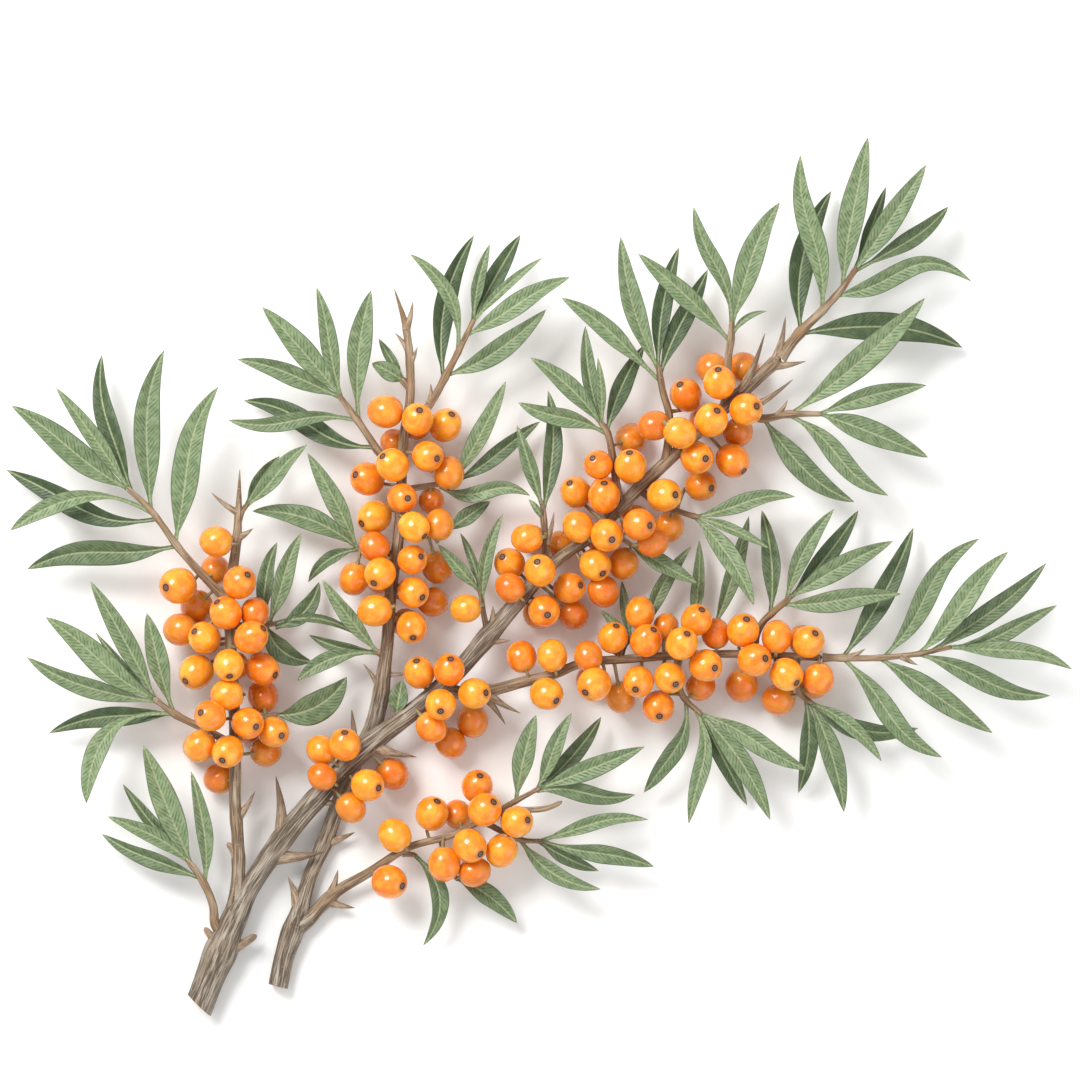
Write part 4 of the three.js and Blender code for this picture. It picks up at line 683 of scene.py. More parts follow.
        [35, -19.6, 10.1, 0.9], [34.8, -24, 8, 0.85], [35.8, -29, 8, 0.8], [41, -34.4, 8.8, 0.55],
    ], [
        [36.8, -30.2, 26.4, -53.7, 4.8, 2.7, 0.7, -2, 0.55],
        [39, -32.4, 37.5, -61.4, 4.3, 2.7, 0.9, 3, 0.5], [40.4, -33.9, 52.3, -57, 4.3, 0, 0, -6],
        [40.4, -33.9, 57.9, -60.5, 5.5, 1.9, 0, 2], [40.6, -34, 67.3, -48, 5.3, 0.3, 0.5, 3.5, 0.5],
    ], []),
    "leafy_shoot_lower_right": ([
        [-12, -60, 9.8, 0.8], [-8.2, -57.2, 10.2, 0.75], [-5.4, -55.6, 10.6, 0.7],
        [0.6, -52.3, 11.4, 0.5],
    ], [
        [-5.6, -55.7, -0.6, -34.2, 5.4, 0.6, 0, 2, 0.5], [-0.2, -52.7, 8.3, -33.7, 4.3, 0.4, -0.2, 3],
        [0.2, -52.5, 15.7, -34.8, 4.5, -1, 0, -7], [0.2, -52.5, 26.5, -42.1, 5.2, -0.2, 0, 2],
        [-0.4, -53.2, 24.2, -54.2, 4.8, -0.1, 0.8, -2],
    ], []),
    "leafy_shoot_lower_end": ([
        [-13.6, -60.9, 9.8, 0.8], [-9, -63.5, 7.6, 0.75], [-4.8, -65.4, 7.8, 0.7], [1.4, -65.9, 8.4, 0.5],
    ], [
        [0.6, -65.8, 27.5, -60.4, 3.8, 1.8, -0.4, 3], [0.6, -65.8, 28.9, -72.2, 4.8, 0.2, -0.4, 0, 0.55],
        [0, -65.8, 15.1, -73.4, 3.6, -0.6, 0, -5], [-4.6, -65.4, 15.6, -77.8, 4.4, -2.9, 0, 2],
    ], []),
    "leafy_shoot_lower_curl": ([
        [-34, -68.9, 7, 0.7], [-30.2, -69.4, 7, 0.5],
    ], [
        [-31.2, -69.2, -28.9, -92.1, 4.5, 5.4, 0, -2],
    ], []),
    "leafy_shoot_lower_left": ([
        [-24.4, -65.2, 9.1, 0.7], [-23.4, -70, 5.6, 0.65], [-20.2, -76, 4.8, 0.5],
    ], [
        [-20.9, -75, -5.4, -86.4, 5.2, 1.3, 0, 0],
    ], []),
}

FULLEST = 0.463  # share of its length at which a leaf is widest, where its row doesn't say
FOOT_TAPER, POINT_TAPER = 1.5, 0.8  # a leaf narrows slowly to its foot and fast to its point
LEAF_STALK = 1.1  # width where a leaf leaves its twig
LEAF_ARCH = 1.4  # rise of the middle of a leaf over its straight run
LEAF_ROLL = 0.22  # largest turn of a blade about its own midrib, in radians
ROLL_STEP = 2.4  # from one leaf of a shoot to the next, in radians
TABLE_CLEAR = 0.7  # least height of a leaf's midrib over the table
LIFT_DELAY = 1.3  # most of the lift comes towards the tip

LEAF_TOP, LEAF_UNDER = 2, 3  # numbers of these finishes, after those of bark and thorns
LEAF_STEPS = 30  # cross-sections along a leaf
LEAF_CROWDING = 1.1  # how much closer they stand at its foot than at its tip
EDGE_TO_GROOVE = [1, 0.93, 0.8, 0.58, 0.34, 0.14, 0.05]  # points across the top, in half widths
TOP = np.array([*EDGE_TO_GROOVE, 0, *(-share for share in EDGE_TO_GROOVE[::-1])])
UNDER = np.array([-0.85, -0.5, -0.16, 0, 0.16, 0.5, 0.85])
FOLD, FOLD_CURVE = 0.95, 1.25  # rise of the edges over the midrib, and how late it comes
EDGE_TURN = 0.3  # how far the edges turn down
FLAT_SHARE = 0.72  # from where they do, in half widths
WAVE = 0.2  # how far the edges wave up and down
WAVES, WAVE_STEP = 2.6, 0.37  # how many waves a leaf has, and their shift from leaf to leaf
GROOVE, GROOVE_WIDTH = 0.13, 0.09  # depth of the groove over the midrib, and its width in half widths
RIB, RIB_WIDTH = 0.22, 0.12  # how far the midrib stands out below, and its width
BLADE = 0.34  # thickness between them
OPEN_WIDTH = 1.6  # half width from which a leaf is fully folded and waved
SINK = 0.1  # how far the top lies under the midrib's path
LEAF_SHADE_BY_LIFT = (0.62, 0.07)  # painted shade: share of fresh green in a level leaf, and what each millimetre of lift adds; lower leaves are darker


def half_width(row, t):
    """Half the width of a leaf at shares of its length."""
    fullest = row[8] if len(row) > 8 else FULLEST
    taper = np.where(t < fullest, FOOT_TAPER, POINT_TAPER)
    skew = math.log(0.5) / math.log(fullest)
    return row[4] / 2 * np.maximum(np.sin(math.pi * t**skew), 0) ** taper


def midrib(row, root_height, t):
    x, y, tip_x, tip_y, _, bow, sway, lift = row[:8]
    run = np.array([tip_x - x, tip_y - y])
    left = unit(np.array([-run[1], run[0]]))
    side = bow * 4 * t * (1 - t) + sway * np.sin(2 * math.pi * t)
    rise = lift * t**LIFT_DELAY + LEAF_ARCH * 4 * t * (1 - t)
    flat = np.array([x, y]) + t[:, None] * run + side[:, None] * left
    return np.column_stack([flat, np.maximum(root_height + rise, TABLE_CLEAR)])


def height_beside(rows, x, y):
    """Height of a twig beside a point of the table."""
    starts, runs = np.array(rows[:-1]), np.diff(rows, axis=0)
    ahead = (((x, y) - starts[:, :2]) * runs[:, :2]).sum(axis=1)
    t = np.clip(ahead / (runs[:, :2] ** 2).sum(axis=1), 0, 1)[:, None]
    beside = starts + t * runs
    return beside[np.argmin(np.linalg.norm(beside[:, :2] - (x, y), axis=1)), 2]


def blade_rise(shares, wave):
    """Height of the blade over its midrib at shares of its half width."""
    out = np.abs(shares)
    turned = EDGE_TURN * np.maximum(out - FLAT_SHARE, 0) / (1 - FLAT_SHARE)
    return FOLD * out**FOLD_CURVE + (wave * shares - turned) * out


def grow_leaf(growth, row, root_height, order, seed):
    width, lift = row[4], row[7]
    t = np.linspace(0, 1, LEAF_STEPS) ** LEAF_CROWDING
    centres = midrib(row, root_height, t)
    _, left, up = frames(centres)
    half = np.maximum(half_width(row, t), LEAF_STALK / 2 * (1 - t) ** 0.5)[:, None]
    opened = np.minimum(half / OPEN_WIDTH, 1)
    wave = WAVE * np.sin(2 * math.pi * (WAVES * t + WAVE_STEP * order))[:, None]
    groove = GROOVE * np.exp(-((TOP / GROOVE_WIDTH) ** 2))
    thick = BLADE * (1 - 0.6 * np.abs(UNDER)) + RIB * np.exp(-((UNDER / RIB_WIDTH) ** 2))
    top = opened * (blade_rise(TOP, wave) - groove)
    under = opened * blade_rise(UNDER, wave) - thick * (0.4 + 0.6 * opened)
    height = np.concatenate([top, under], axis=1) - SINK
    share = np.concatenate([TOP, UNDER])
    turn = LEAF_ROLL * math.sin(ROLL_STEP * order + width) * np.minimum(4 * t, 1)[:, None]
    to_left = half * share * np.cos(turn) - height * np.sin(turn)
    upward = half * share * np.sin(turn) + height * np.cos(turn)
    rings = rings_round(centres, left, up, to_left, upward)
    grain = spread(share, lengths(centres), half)
    # painted shade: the lower a leaf lies, the darker its tone
    tone = np.clip(LEAF_SHADE_BY_LIFT[0] + LEAF_SHADE_BY_LIFT[1] * lift, 0, 1)
    finish = [LEAF_TOP] * len(TOP) + [LEAF_UNDER] * len(UNDER)
    middle = len(EDGE_TO_GROOVE)
    start, end = [(centres[k], grain[k, middle], tone) for k in (0, -1)]
    growth.loft(rings[:-1], grain[:-1], tone, seed, finish, start, end)


# Leaves that lie behind their neighbours are darkened towards a deep green as painted shade, and those in
# front are fresh green.
PAINTED_SHADE_GREEN = (0.045, 0.075, 0.03), (0.075, 0.115, 0.045)
FRESH_GREEN = (0.165, 0.235, 0.11), (0.25, 0.32, 0.17)
VEIN_GREEN = (0.03, 0.055, 0.022)
RIB_GREEN = (0.36, 0.4, 0.22)
EDGE_GREEN = (0.035, 0.05, 0.02)
SILVER = (0.34, 0.37, 0.28), (0.5, 0.52, 0.43)
SILVER_VEIN = (0.24, 0.26, 0.17)
RUSTY_RIB = (0.36, 0.27, 0.14)
VEIN_GAP = 1.3  # from one side vein to the next
VEIN_SLOPE = 1.35  # how far a vein runs forward for each millimetre across


def blade_wires(grain, seed):
    """Over a blade: its midrib, its slanting veins, which waver and break off, and its mottling."""
    share = grain.part("X").maths("ABSOLUTE")
    across = share * grain.part("Z")
    place = grain.placed(seed, 1.5, 0.5, 1)
    slant = across * VEIN_SLOPE + place.noise(0.8, 1) * 0.9
    phase = ((grain.part("Y") - slant) * (1 / VEIN_GAP)).maths("FRACT")
    line = (phase - 0.5).maths("ABSOLUTE").fade(0.24, 0.02)
    vein = line * share.fade(0.98, 0.7) * place.noise(1.6, 2).fade(0.3, 0.62)
    return across.fade(0.3, 0.1), vein, place.noise(1.1)


def leaf_top_finish():
    """Grey-green, satin, with pressed-in veins, a pale midrib and a darker edge."""
    material, grain, tone, seed = new_finish("leaf_top", "grain", "tone", "seed")
    rib, vein, mottle = blade_wires(grain, seed)
    margin = grain.part("X").maths("ABSOLUTE").fade(0.84, 1)
    # painted shade: the lower a leaf lies, the more its blade is mixed towards the dark green
    blade = tone.mix(mottle.cloudy(*PAINTED_SHADE_GREEN), mottle.cloudy(*FRESH_GREEN))
    ribbed = (rib * 0.75).mix((vein * 0.55).mix(blade, VEIN_GREEN), RIB_GREEN)
    colour = (margin * 0.6).mix(ribbed, EDGE_GREEN)
    relief = mottle * 0.5 - vein * 0.8 + rib * 0.3
    rough = mottle * 0.2 + 0.4
    return close_finish(material, colour, rough, relief, depth=0.00016, Specular_IOR_Level=0.45)


def leaf_under_finish():
    """Silvery scales, with the midrib and the veins standing out."""
    material, grain, seed = new_finish("leaf_under", "grain", "seed")
    rib, vein, mottle = blade_wires(grain, seed)
    veined = (vein * 0.35).mix(mottle.cloudy(*SILVER), SILVER_VEIN)
    colour = (rib * 0.8).mix(veined, RUSTY_RIB)
    return close_finish(material, colour, mottle * 0.2 + 0.5, vein + mottle * 0.5, depth=0.00012)


leaf_finishes = [bark, thorn, leaf_top_finish(), leaf_under_finish()]

for count, (name, (twig, leaves, thorns)) in enumerate(SHOOTS.items()):
    growth = Growth()
    roots = [[x, y, height_beside(twig, x, y)] for x, y, *_ in leaves]
    grow_wood(growth, twig, sides=16, seed=60 + count, knots=roots, step=0.3)
    grow_thorns(growth, thorns)
    for order, (row, root) in enumerate(zip(leaves, roots)):
        grow_leaf(growth, row, root[2], order, seed=5 * count + 0.7 * order)
    dress(name, growth, leaf_finishes)

# ---------------- berries
# Bunches of small oval berries pressed round the wood: juicy, in a thin glossy orange skin with
# fine brown scales, a dark dry tip where the flower was, and a short stalk each into the bark.

# A berry is [x, y, radius, layer], with layer 0 behind the wood, 1 beside it and 2 in front. Two
# more numbers, where its tip shows, say how far that is off its middle along x and y, in radii.
BUNCHES = {
    "berries_left": [
        [-81, 2.1, 3.8, 0], [-85.6, -7.1, 4.2, 0], [-70.8, -8.7, 3.8, 0], [-89.6, -12.9, 4.3, 0],
        [-69, -29.7, 4.1, 0], [-68.3, -43.6, 3.9, 0], [-80, -50.3, 4, 0], [-80.4, 9.1, 4.1, 1],
        [-90, -1.9, 4.8, 1, -0.6, -0.1], [-74.6, -1.1, 4.3, 1, 0.5, 0.45],
        [-85.6, -23.5, 4.5, 1, -0.57, -0.5], [-69, -22.7, 4.3, 1, 0.75, -0.35], [-77.6, -29.1, 4.1, 1],
        [-81.8, -34.3, 4.1, 1, -0.55, 0.2], [-66.2, -38.5, 4.1, 1, 0.5, -0.2], [-84.5, -41.9, 4, 1],
        [-78, -8.7, 4.2, 2, -0.5, 0.65], [-83.4, -14.9, 4.2, 2, -0.58, 0.38],
        [-71.6, -14.7, 4.3, 2, 0.7, 0.5], [-77.2, -21.7, 4.1, 2, 0.07, -0.66],
        [-72.5, -36.2, 4.2, 2, 0.5, -0.2], [-77.5, -43.3, 4.2, 2, -0.3, -0.5],
    ],
    "berries_crossing_left": [
        [-54, -49.6, 3.6, 0], [-54.2, -43.1, 3.9, 1], [-48.3, -41.6, 4.2, 2, 0, 0.72],
    ],
    "berries_crossing_right": [
        [-46.9, -57.4, 3.9, 0], [-36.6, -49, 4.2, 0], [-42.7, -51.7, 4.3, 2, 0.65, -0.15],
    ],
    "berries_middle": [
        [-36.2, 34, 3.6, 0], [-22.4, 26.2, 4.1, 0], [-26.8, 19.3, 3.4, 0], [-24.8, 13.3, 3.9, 0],
        [-40.9, 7.8, 3.9, 0], [-25.4, 2.7, 4.1, 0], [-26.5, -6, 3.9, 0], [-38.2, 41.6, 4.4, 1],
        [-23.2, 38.2, 4.3, 1, 0.35, 0.62], [-42.8, 24.8, 4.4, 1, -0.66, 0.23],
        [-41.1, 15.2, 4.4, 1, -0.68, -0.36], [-46.1, -0.2, 4.1, 1], [-40.8, -8.1, 4.3, 1],
        [-30.2, 39.6, 4.2, 2, 0.14, 0.52], [-27.6, 30.4, 4.1, 2, 0.56, -0.15],
        [-36.4, 28.2, 4.3, 2, -0.56, 0.5], [-34, 20, 3.9, 2, 0.36, -0.03], [-31, 12.7, 4, 2, 0.65, -0.57],
        [-31.5, 4.6, 3.9, 2, 0.56, 0.2], [-39.5, 1.1, 4.2, 2, -0.36, -0.55],
        [-31.3, -3.5, 4.1, 2, 0.56, -0.32], [-31.7, -12.3, 4.1, 2, 0.1, -0.62],
    ],
    "berries_fork": [
        [-16.5, -35.8, 4.2, 0], [-22, -41.3, 4, 0], [-29.8, -23.6, 4.1, 1, -0.15, 0.7],
        [-26.8, -37.2, 4, 1], [-16, -28.8, 4.1, 1, 0.7, 0.05], [-22.3, -22.9, 4.1, 2, 0.1, 0.66],
        [-24.4, -31.5, 4.1, 2, 0, -0.41],
    ],
    "berry_fork_single": [[-18.1, -7.6, 3.8, 1]],
    "berries_centre": [
        [-7.1, -2.4, 3.8, 0], [5.3, 8.4, 3.6, 0], [8.7, -9.1, 3.9, 0], [-7.2, 3.6, 4.1, 1, -0.44, 0.4],
        [-2.8, 9.9, 3.9, 1], [7.7, -2.5, 4.1, 1, 0.68, 0.17], [0.4, 1.9, 4.2, 2, -0.17, 0.52],
        [1.4, -8.2, 4.2, 2, 0.2, -0.24],
    ],
    "berries_upper_left": [
        [23.1, 34.9, 4.1, 0], [28.8, 38, 4, 0], [32.8, 12.8, 3.9, 0], [28.5, 8.8, 3.8, 0],
        [21.3, 3.6, 4, 0], [16.2, -3.3, 4.1, 0], [9.9, 12.8, 4, 1], [9.3, 21.4, 4.1, 1, -0.37, 0.56],
        [14.9, 28.3, 3.8, 1, -0.37, 0.42], [14.2, 3.3, 4.2, 1, 0.43, -0.52],
        [25.1, 13.4, 4.2, 1, 0.62, -0.07], [31.4, 20.7, 4.4, 2, 0.6, 0.02], [16.4, 20.4, 4.3, 2, 0, 0.74],
        [23, 28, 4.3, 2, -0.07, 0.74], [17, 10.7, 4.3, 2, 0.3, -0.26],
    ],
    "berries_upper_right": [
        [43.3, 52.7, 4, 0], [51.5, 52.7, 4, 0], [50, 36.5, 3.9, 0], [40.6, 23.1, 4.1, 0, 0.63, -0.15],
        [36.8, 45.7, 4.3, 1, -0.33, 0.6], [35.2, 36.2, 4.1, 1], [48.6, 29.4, 4.4, 1, 0.6, -0.6],
        [45.1, 48.8, 4.3, 2, -0.07, 0.72], [51.8, 42.1, 4.3, 2, 0.58, 0.16],
        [39.6, 30, 4.3, 2, 0.47, -0.05], [43.1, 39.4, 4.4, 2, 0.32, 0.52],
    ],
    "berries_right_pair": [[-4.2, -19.7, 4, 1], [3.4, -19.4, 4, 1]],
    "berry_right_hanging": [[2, -28.9, 4.3, 1, 0.56, -0.4]],
    "berries_right_inner": [
        [12.4, -19.5, 3.8, 0], [31.9, -12.3, 3.4, 0], [44.3, -13.9, 3.8, 0], [20.5, -29.9, 4, 0],
        [40.6, -27.1, 3.8, 0], [18.6, -14.9, 4, 1, 0.2, 0.72], [25.4, -8.7, 3.9, 1],
        [39.4, -10.5, 4.1, 1, 0.32, 0.63], [13.9, -26.5, 4.4, 1, -0.5, -0.45],
        [30, -32.2, 4.2, 1, 0.05, -0.55], [32.8, -24.9, 4.1, 1, 0.34, -0.39],
        [26.9, -15.6, 4.2, 2, 0.43, 0.64], [35.7, -16.3, 4.2, 2, 0.31, 0.57],
        [24.9, -25.9, 4.1, 2, -0.17, -0.46], [41.7, -21.8, 4.3, 2, 0.53, -0.14],
    ],
    "berries_right_outer": [
        [50.9, -26.8, 4.3, 0], [60.1, -30.5, 4.2, 0], [51, -13, 4.3, 1, 0.2, 0.63], [59.5, -14.7, 4.1, 1],
        [67.4, -15.9, 4.2, 1, 0.38, 0.5], [70, -25.2, 4.1, 1], [61.9, -24, 4.3, 2, 0.58, -0.5],
        [53.9, -20.4, 4.4, 2, 0.59, 0.09],
    ],
    "berry_lower_above": [[-35.9, -64.3, 4.3, 1]],
    "berry_lower_below": [[-37.3, -76, 4.5, 1, 0.73, -0.2]],
    "berries_lower": [
        [-20.3, -59.2, 3.8, 0], [-16, -73.5, 4, 0], [-26.6, -58.9, 4.4, 1, 0.3, 0.7],
        [-15.3, -52.1, 4.2, 1, 0.17, 0.64], [-5.4, -60.8, 4.2, 1, 0.64, 0.12], [-23.5, -71.4, 4.3, 1],
        [-9.2, -68.1, 4.2, 1], [-17.2, -66.8, 4.4, 2, 0.61, -0.45], [-13.4, -57.8, 4.4, 2, 0.5, 0.45],
    ],
}

LAYER_HEIGHT = (5.2, 9.4, 13)  # where a back, a middle and a front berry start from
BERRY_SWELL = 1.1  # how much room a berry keeps from wood and leaves, in its own radii
NEST = 0.93  # how close two berries press, as a share of their two radii
GAP = 0.3  # clear space between two things that touch on the real sprig
LEAF_THICKNESS = 1.0  # of a leaf, for the berries
LEAF_BALLS = 25  # along it
NEAR_EDGE = 0.8  # where its outer ones are, in half widths
UNDER_SIZE = 0.92  # radius of a berry on the underside, as a share of the one over it
UNDER_SHARE = 0.27  # berries on the underside, as a share of the others of their bunch
UNDER_STRAY = 1.6  # how far they may stray sideways
CLEAR = 1e-6  # slack when two distances are compared
FIRST_DRAW, DRAW_FACTOR, DRAW_RANGE = 11, 16807, 2147483647


def balls_along(rows):
    """Balls [x, y, height, radius] strung along a length of wood, which berries keep clear of."""
    balls = []
    for start, end in zip(np.array(rows, float), np.array(rows[1:], float)):
        steps = math.ceil(np.linalg.norm((end - start)[:3]))
        balls += [start + (end - start) * k / steps + (0, 0, 0, GAP) for k in range(steps + 1)]
    return balls


def balls_over(row, root_height):
    """The same over a leaf, along its midrib and near both edges."""
    t = np.linspace(0, 1, LEAF_BALLS)
    centres = midrib(row, root_height, t)
    _, left, _ = frames(centres)
    half = np.maximum(half_width(row, t), LEAF_STALK / 2)[:, None]
    sides = [centres + left * share * half for share in (-NEAR_EDGE, 0, NEAR_EDGE)]
    return np.insert(np.vstack(sides), 3, LEAF_THICKNESS / 2 + GAP, axis=1).tolist()


class Crowd:
    """What berries keep clear of: rows of a place, and how far from it the middle of a berry stays,
    as a share of its radius and a length to add."""

    def __init__(self, balls):
        self.rows = np.insert(balls, 3, BERRY_SWELL, axis=1)

    def add(self, centre, radius):
        self.rows = np.vstack([self.rows, (*centre, NEST, NEST * radius)])

    def reach(self, radius):
        return self.rows[:, 3] * radius + self.rows[:, 4]

    def raised(self, x, y, radius, height):
        """The least clear height of a berry that starts from this one."""
        room = self.reach(radius) ** 2 - (self.rows[:, 0] - x) ** 2 - (self.rows[:, 1] - y) ** 2
        middle, half = self.rows[room > 0, 2], np.sqrt(room[room > 0])
        low, high = middle - half + CLEAR, middle + half
        while ((height > low) & (height < high - CLEAR)).any():
            height = high[(height > low) & (height < high - CLEAR)].max()
        return height

    def is_clear(self, centre, radius):
        away = np.linalg.norm(self.rows[:, :3] - centre, axis=1)
        return (away >= self.reach(radius) - CLEAR).all()


def draws(state):
    """Repeatable draws between -1 and 1."""
    while True:
        state = state * DRAW_FACTOR % DRAW_RANGE
        yield state / DRAW_RANGE * 2 - 1


def settle(rows, crowd, draw):
    """Berries (centre, radius, layer, tip): those of the rows, then those on the underside."""
    berries = []

    def place(x, y, z, radius, layer, tip=()):
        berries.append((np.array([x, y, z]), radius, layer, tip))
        crowd.add((x, y, z), radius)

    for x, y, radius, layer, *tip in rows:
        place(x, y, crowd.raised(x, y, radius, LAYER_HEIGHT[layer]), radius, layer, tip)
    wanted = math.floor(len(rows) * UNDER_SHARE)
    for x, y, above, layer, *_ in reversed(rows):
        radius = above * UNDER_SIZE
        x, y = x + UNDER_STRAY * next(draw), y + UNDER_STRAY * next(draw)
        if wanted and layer and crowd.is_clear((x, y, radius), radius):
            place(x, y, radius, radius, layer=0)
            wanted -= 1
    return berries


SKIN, STALK = 0, 1  # numbers of the finishes of a bunch
BERRY_SIDES = 28  # points round a ring of a berry
OVAL = 0.05  # how much longer a berry is than a ball, and how much slimmer
LUMPS = 0.03  # how uneven its skin is
DIMPLE = 0.045  # depth of the hollow round the dry tip, in radii
RING = 0.016  # height of the swollen ring round that
SCAR = 0.03  # height of the dry tip in the hollow
STALK_PIT = 0.05  # depth of the pit round the stalk
# Angles from the tip of a berry to its rings of points, close together round the dry tip.
TIP_ANGLES = [0.05, 0.1, 0.14, 0.18, 0.22, 0.27, 0.34, 0.45, 0.6, 0.8, 1.05, 1.3, 1.55, 1.8]
TIP_ANGLES += [2.05, 2.3, 2.55, 2.8, 3.0]


def berry_reach(angle):
    """How far the skin is from the middle, in radii, by the angle from the tip."""
    tip = SCAR * np.exp(-((angle / 0.06) ** 2)) - DIMPLE * np.exp(-((angle / 0.17) ** 2))
    ring = RING * np.exp(-(((angle - 0.27) / 0.07) ** 2))
    pit = STALK_PIT * np.exp(-(((math.pi - angle) / 0.3) ** 2))
    return 1 + OVAL * np.cos(2 * angle) + tip + ring - pit


def across_of(direction):
    """Two directions square to this one and to each other."""
    helper = np.eye(3)[np.argmin(np.abs(direction))]
    first = unit(np.cross(direction, helper))
    return first, np.cross(direction, first)


def grow_berry(growth, centre, radius, tip, tone, seed):
    angle = np.array(TIP_ANGLES)[:, None]
    to_left, upward = circle(BERRY_SIDES)
    grain = spread(np.sin(angle) * to_left, np.sin(angle) * upward, np.cos(angle))
    lump = [noise.noise(Vector(point * 1.3 + seed)) for point in grain.reshape(-1, 3)]
    reach = radius * berry_reach(angle) * (1 + LUMPS * np.reshape(lump, grain.shape[:2]))
    rings = centre + reach[..., None] * (grain @ np.array([*across_of(tip), tip]))
    top = centre + radius * berry_reach(0) * tip
    bottom = centre - radius * berry_reach(math.pi) * tip
    rise = np.array([0, 0, max(-rings[..., 2].min(), -top[2], -bottom[2], 0)])
    start, end = (top + rise, [0, 0, 1], tone), (bottom + rise, [0, 0, -1], tone)
    growth.loft(rings + rise, grain, tone, seed, SKIN, start, end)


STALK_RADIUS = 0.42  # of a berry's stalk at its middle
STALK_STEPS, STALK_SIDES = 8, 8
STALK_FOOT = 0.93  # where it leaves the berry, in radii
STALK_REACH = 9  # how far from the berry it may look for wood
STALK_KNEE = (0.4, 2.2)  # how far it runs straight on: a share of its run, and the most
CROSSING_COST = 6  # what a millimetre inside another berry counts, in millimetres of stalk


def grow_stalk(growth, centre, radius, tip, wood, others, seed):
    """A short bent stalk from the foot of a berry to the wood, where the fewest berries are crossed."""
    foot = centre - STALK_FOOT * radius * tip
    away = np.linalg.norm(wood - centre, axis=1)
    t = np.linspace(0, 1, STALK_STEPS)[:, None]
    least = math.inf
    for point in wood[away <= max(radius + STALK_REACH, away.min())]:
        length = np.linalg.norm(point - foot)
        knee = foot - tip * min(STALK_KNEE[0] * length, STALK_KNEE[1])
        bent = (1 - t) ** 2 * foot + 2 * t * (1 - t) * knee + t**2 * point
        apart = np.linalg.norm(bent[:, None] - others[:, :3], axis=-1) - others[:, 3]
        cost = length + CROSSING_COST * np.maximum(-apart, 0).sum()
        if cost < least:
            least, path = cost, bent
    path[:, 2] = np.maximum(path[:, 2], STALK_RADIUS + 0.1)
    _, left, up = frames(path, upward=across_of(unit(path[-1] - path[0]))[0])
    to_left, upward = circle(STALK_SIDES)
    thick = STALK_RADIUS * (1 + 0.5 * (2 * t - 1) ** 4)
    rings = rings_round(path, left, up, thick * to_left, thick * upward)
    grain = spread(STALK_RADIUS * to_left, STALK_RADIUS * upward, lengths(path))
    growth.loft(rings, grain, 0, seed, STALK)


# WARM and LIGHT mottle a skin, and each runs from the reddest berry to the yellowest.
WARM = (0.86, 0.19, 0.006), (0.93, 0.3, 0.012)
LIGHT = (0.95, 0.33, 0.02), (0.98, 0.45, 0.035)
STALK_END = (0.85, 0.5, 0.09)
SHADED = (0.5, 0.08, 0.004)
SPECK = (0.25, 0.075, 0.012)
RIPE_RING = (0.4, 0.1, 0.01)
DRY_TIP = (0.035, 0.014, 0.006), (0.22, 0.09, 0.03)
STALK_BARK = (0.2, 0.13, 0.06), (0.36, 0.3, 0.15)


def skin_finish():
    """Glossy orange skin, mottled, yellower at the stalk, with brown specks and a dark dry tip, and
    painted shade on berries at the back.
    """
    material, grain, tone, seed = new_finish("berry_skin", "grain", "tone", "seed")
    place = grain.placed(seed, 1, 1, 1)
    angle = grain.part("Z").maths("ARCCOSINE")
    hue = (seed * 7.31).maths("SINE") * 0.5 + 0.5
    skin = place.noise(1.7).fade(0.35, 0.68).mix(hue.mix(*WARM), hue.mix(*LIGHT))
    skin = (angle.fade(2.2, 3.1) * 0.5).mix(skin, STALK_END)
    # painted shade: berries at the back are darkened towards SHADED
    skin = (tone * 0.45).mix(skin, SHADED)
    specks = place.cells(6.5).fade(0.2, 0.1) * place.noise(5, 1).fade(0.42, 0.55)
    skin = (specks * 0.6).mix(skin, SPECK)
    skin = (angle.fade(0.42, 0.26) * 0.5).mix(skin, RIPE_RING)
    scar = angle.fade(0.225, 0.19)
    heart = angle.fade(0.13, 0.09) * angle.fade(0.035, 0.06)
    return close_finish(
        material, scar.mix(skin, heart.mix(*DRY_TIP)), specks * 0.2 + scar * 0.4 + 0.24,
        specks + scar * place.noise(14, 2), depth=0.00006, Coat_Weight=0.35, Coat_Roughness=0.12,
        Subsurface_Weight=0.18, Subsurface_Scale=0.0015, Subsurface_Radius=(1, 0.35, 0.08),
    )


def stalk_finish():
    material, grain, seed = new_finish("berry_stalk", "grain", "seed")
    streak = grain.placed(seed, 1, 1, 0.3).noise(2.5, 2)
    colour = streak.cloudy(*STALK_BARK)
    return close_finish(material, colour, streak * 0.2 + 0.5, streak, depth=0.0001)


LAYER_PAINTED_SHADE = (1, 0.25, 0)  # painted shade: berries at the back are darkened most, those in front not at all
TIP_LEVEL = (1, 1, 0.4)  # where a tip isn't given, it points away from the wood and rather level
TIP_DROOP = (0, 0, 0.45)
bunch_finishes = [skin_finish(), stalk_finish()]

lengths_of_wood = [MAIN_STEM, LEFT_BRANCH, RIGHT_BRANCH, SECOND_STEM, LOWER_BRANCH]
lengths_of_wood += [twig for twig, *_ in SHOOTS.values()]
wood_balls = [ball for rows in lengths_of_wood for ball in balls_along(rows)]
wood = np.array(wood_balls)[:, :3]

balls = list(wood_balls)
all_thorns = MAIN_THORNS + SECOND_THORNS
for twig, leaves, thorns in SHOOTS.values():
    all_thorns = all_thorns + thorns
    for row in leaves:
        balls += balls_over(row, height_beside(twig, *row[:2]))
for row in all_thorns:
    balls += balls_along(thorn_path(row, bend=0))
crowd = Crowd(balls)

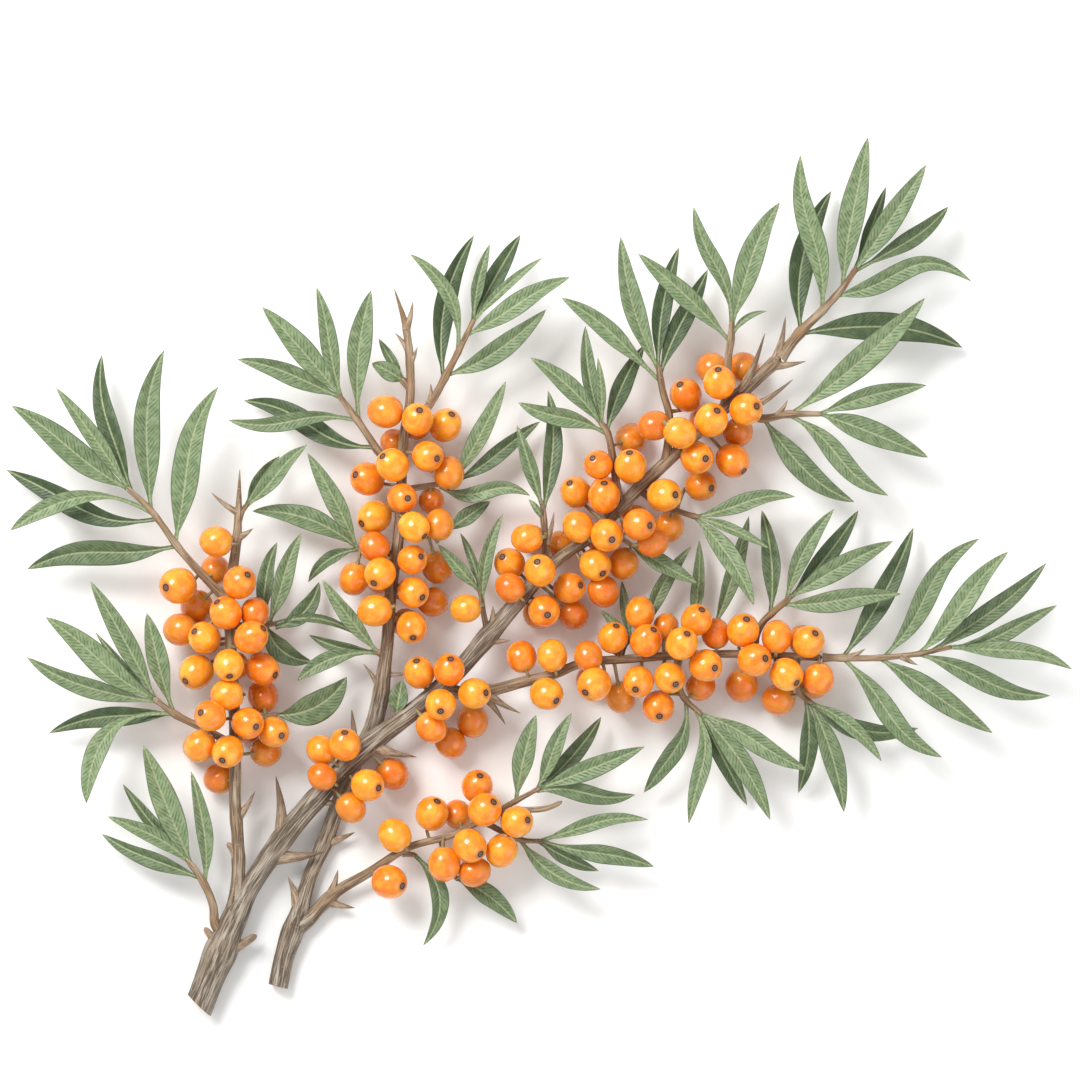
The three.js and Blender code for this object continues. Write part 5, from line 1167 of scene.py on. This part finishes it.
for order, (name, rows) in enumerate(BUNCHES.items()):
    growth = Growth()
    berries = settle(rows, crowd, draws(FIRST_DRAW + order))
    spheres = np.array([[*centre, radius] for centre, radius, *_ in berries])
    for number, (centre, radius, layer, tip) in enumerate(berries):
        seed = 10 * order + 0.37 * number
        if tip:
            tip = np.array([*tip, math.sqrt(1 - tip[0] ** 2 - tip[1] ** 2)])
        else:
            nearest = wood[np.argmin(np.linalg.norm(wood - centre, axis=1))]
            tip = unit(unit(centre - nearest) * TIP_LEVEL - TIP_DROOP)
        grow_berry(growth, centre, radius, tip, LAYER_PAINTED_SHADE[layer], seed)
        grow_stalk(growth, centre, radius, tip, wood, np.delete(spheres, number, axis=0), seed)
    dress(name, growth, bunch_finishes)

# ---------------- table, light and camera
# A plain pale table top, a broad soft light from the upper left with a weaker one opposite, and a
# camera straight above.

TABLE_SIZE = 5
TABLE_WHITE = (0.86, 0.86, 0.85), (0.9, 0.9, 0.89)
VIEW_CENTRE = (0.375, 9.5)  # the place that the camera looks down on
VIEW_WIDTH = 270
VIEW_HEIGHT = 3000
VIEW_LEVEL = 10  # the height over the table that VIEW_WIDTH is measured at
SENSOR = 36  # of the camera


def table_finish():
    material = new_finish("table_top")[0]
    cloud = Wire(material.node_tree).node("NewGeometry").noise(9, 2)
    return close_finish(material, cloud.mix(*TABLE_WHITE), cloud * 0.1 + 0.75, cloud, depth=0.00002)


def soft_light(name, place, size, power):
    lamp = bpy.data.lights.new(name, "AREA")
    lamp.size, lamp.energy = size, power
    light = put(name, lamp)
    light.location = place
    light.rotation_euler = (-Vector(place)).to_track_quat("-Z", "Y").to_euler()


top = bpy.data.meshes.new("table_top")
corners = [(-1, -1, 0), (1, -1, 0), (1, 1, 0), (-1, 1, 0)]
top.from_pydata((np.array(corners) * TABLE_SIZE / 2).tolist(), [], [(0, 1, 2, 3)])
top.materials.append(table_finish())
put("table_top", top)

soft_light("key_light", place=(-0.55, 0.6, 0.9), size=0.5, power=14)
soft_light("fill_light", place=(0.8, -0.5, 0.7), size=0.9, power=3)

world = bpy.data.worlds.new("daylight")
world.use_nodes = True
daylight = world.node_tree.nodes["Background"].inputs
daylight["Color"].default_value = (1, 1, 1, 1)
daylight["Strength"].default_value = 0.75
bpy.context.scene.world = world
bpy.context.scene.view_settings.view_transform = "Standard"

lens = bpy.data.cameras.new("camera")
lens.sensor_width = SENSOR
lens.lens = SENSOR * (VIEW_HEIGHT - VIEW_LEVEL) / VIEW_WIDTH
lens.clip_end = 20
camera = put("camera", lens)
camera.location = Vector((*VIEW_CENTRE, VIEW_HEIGHT)) * MM
bpy.context.scene.camera = camera
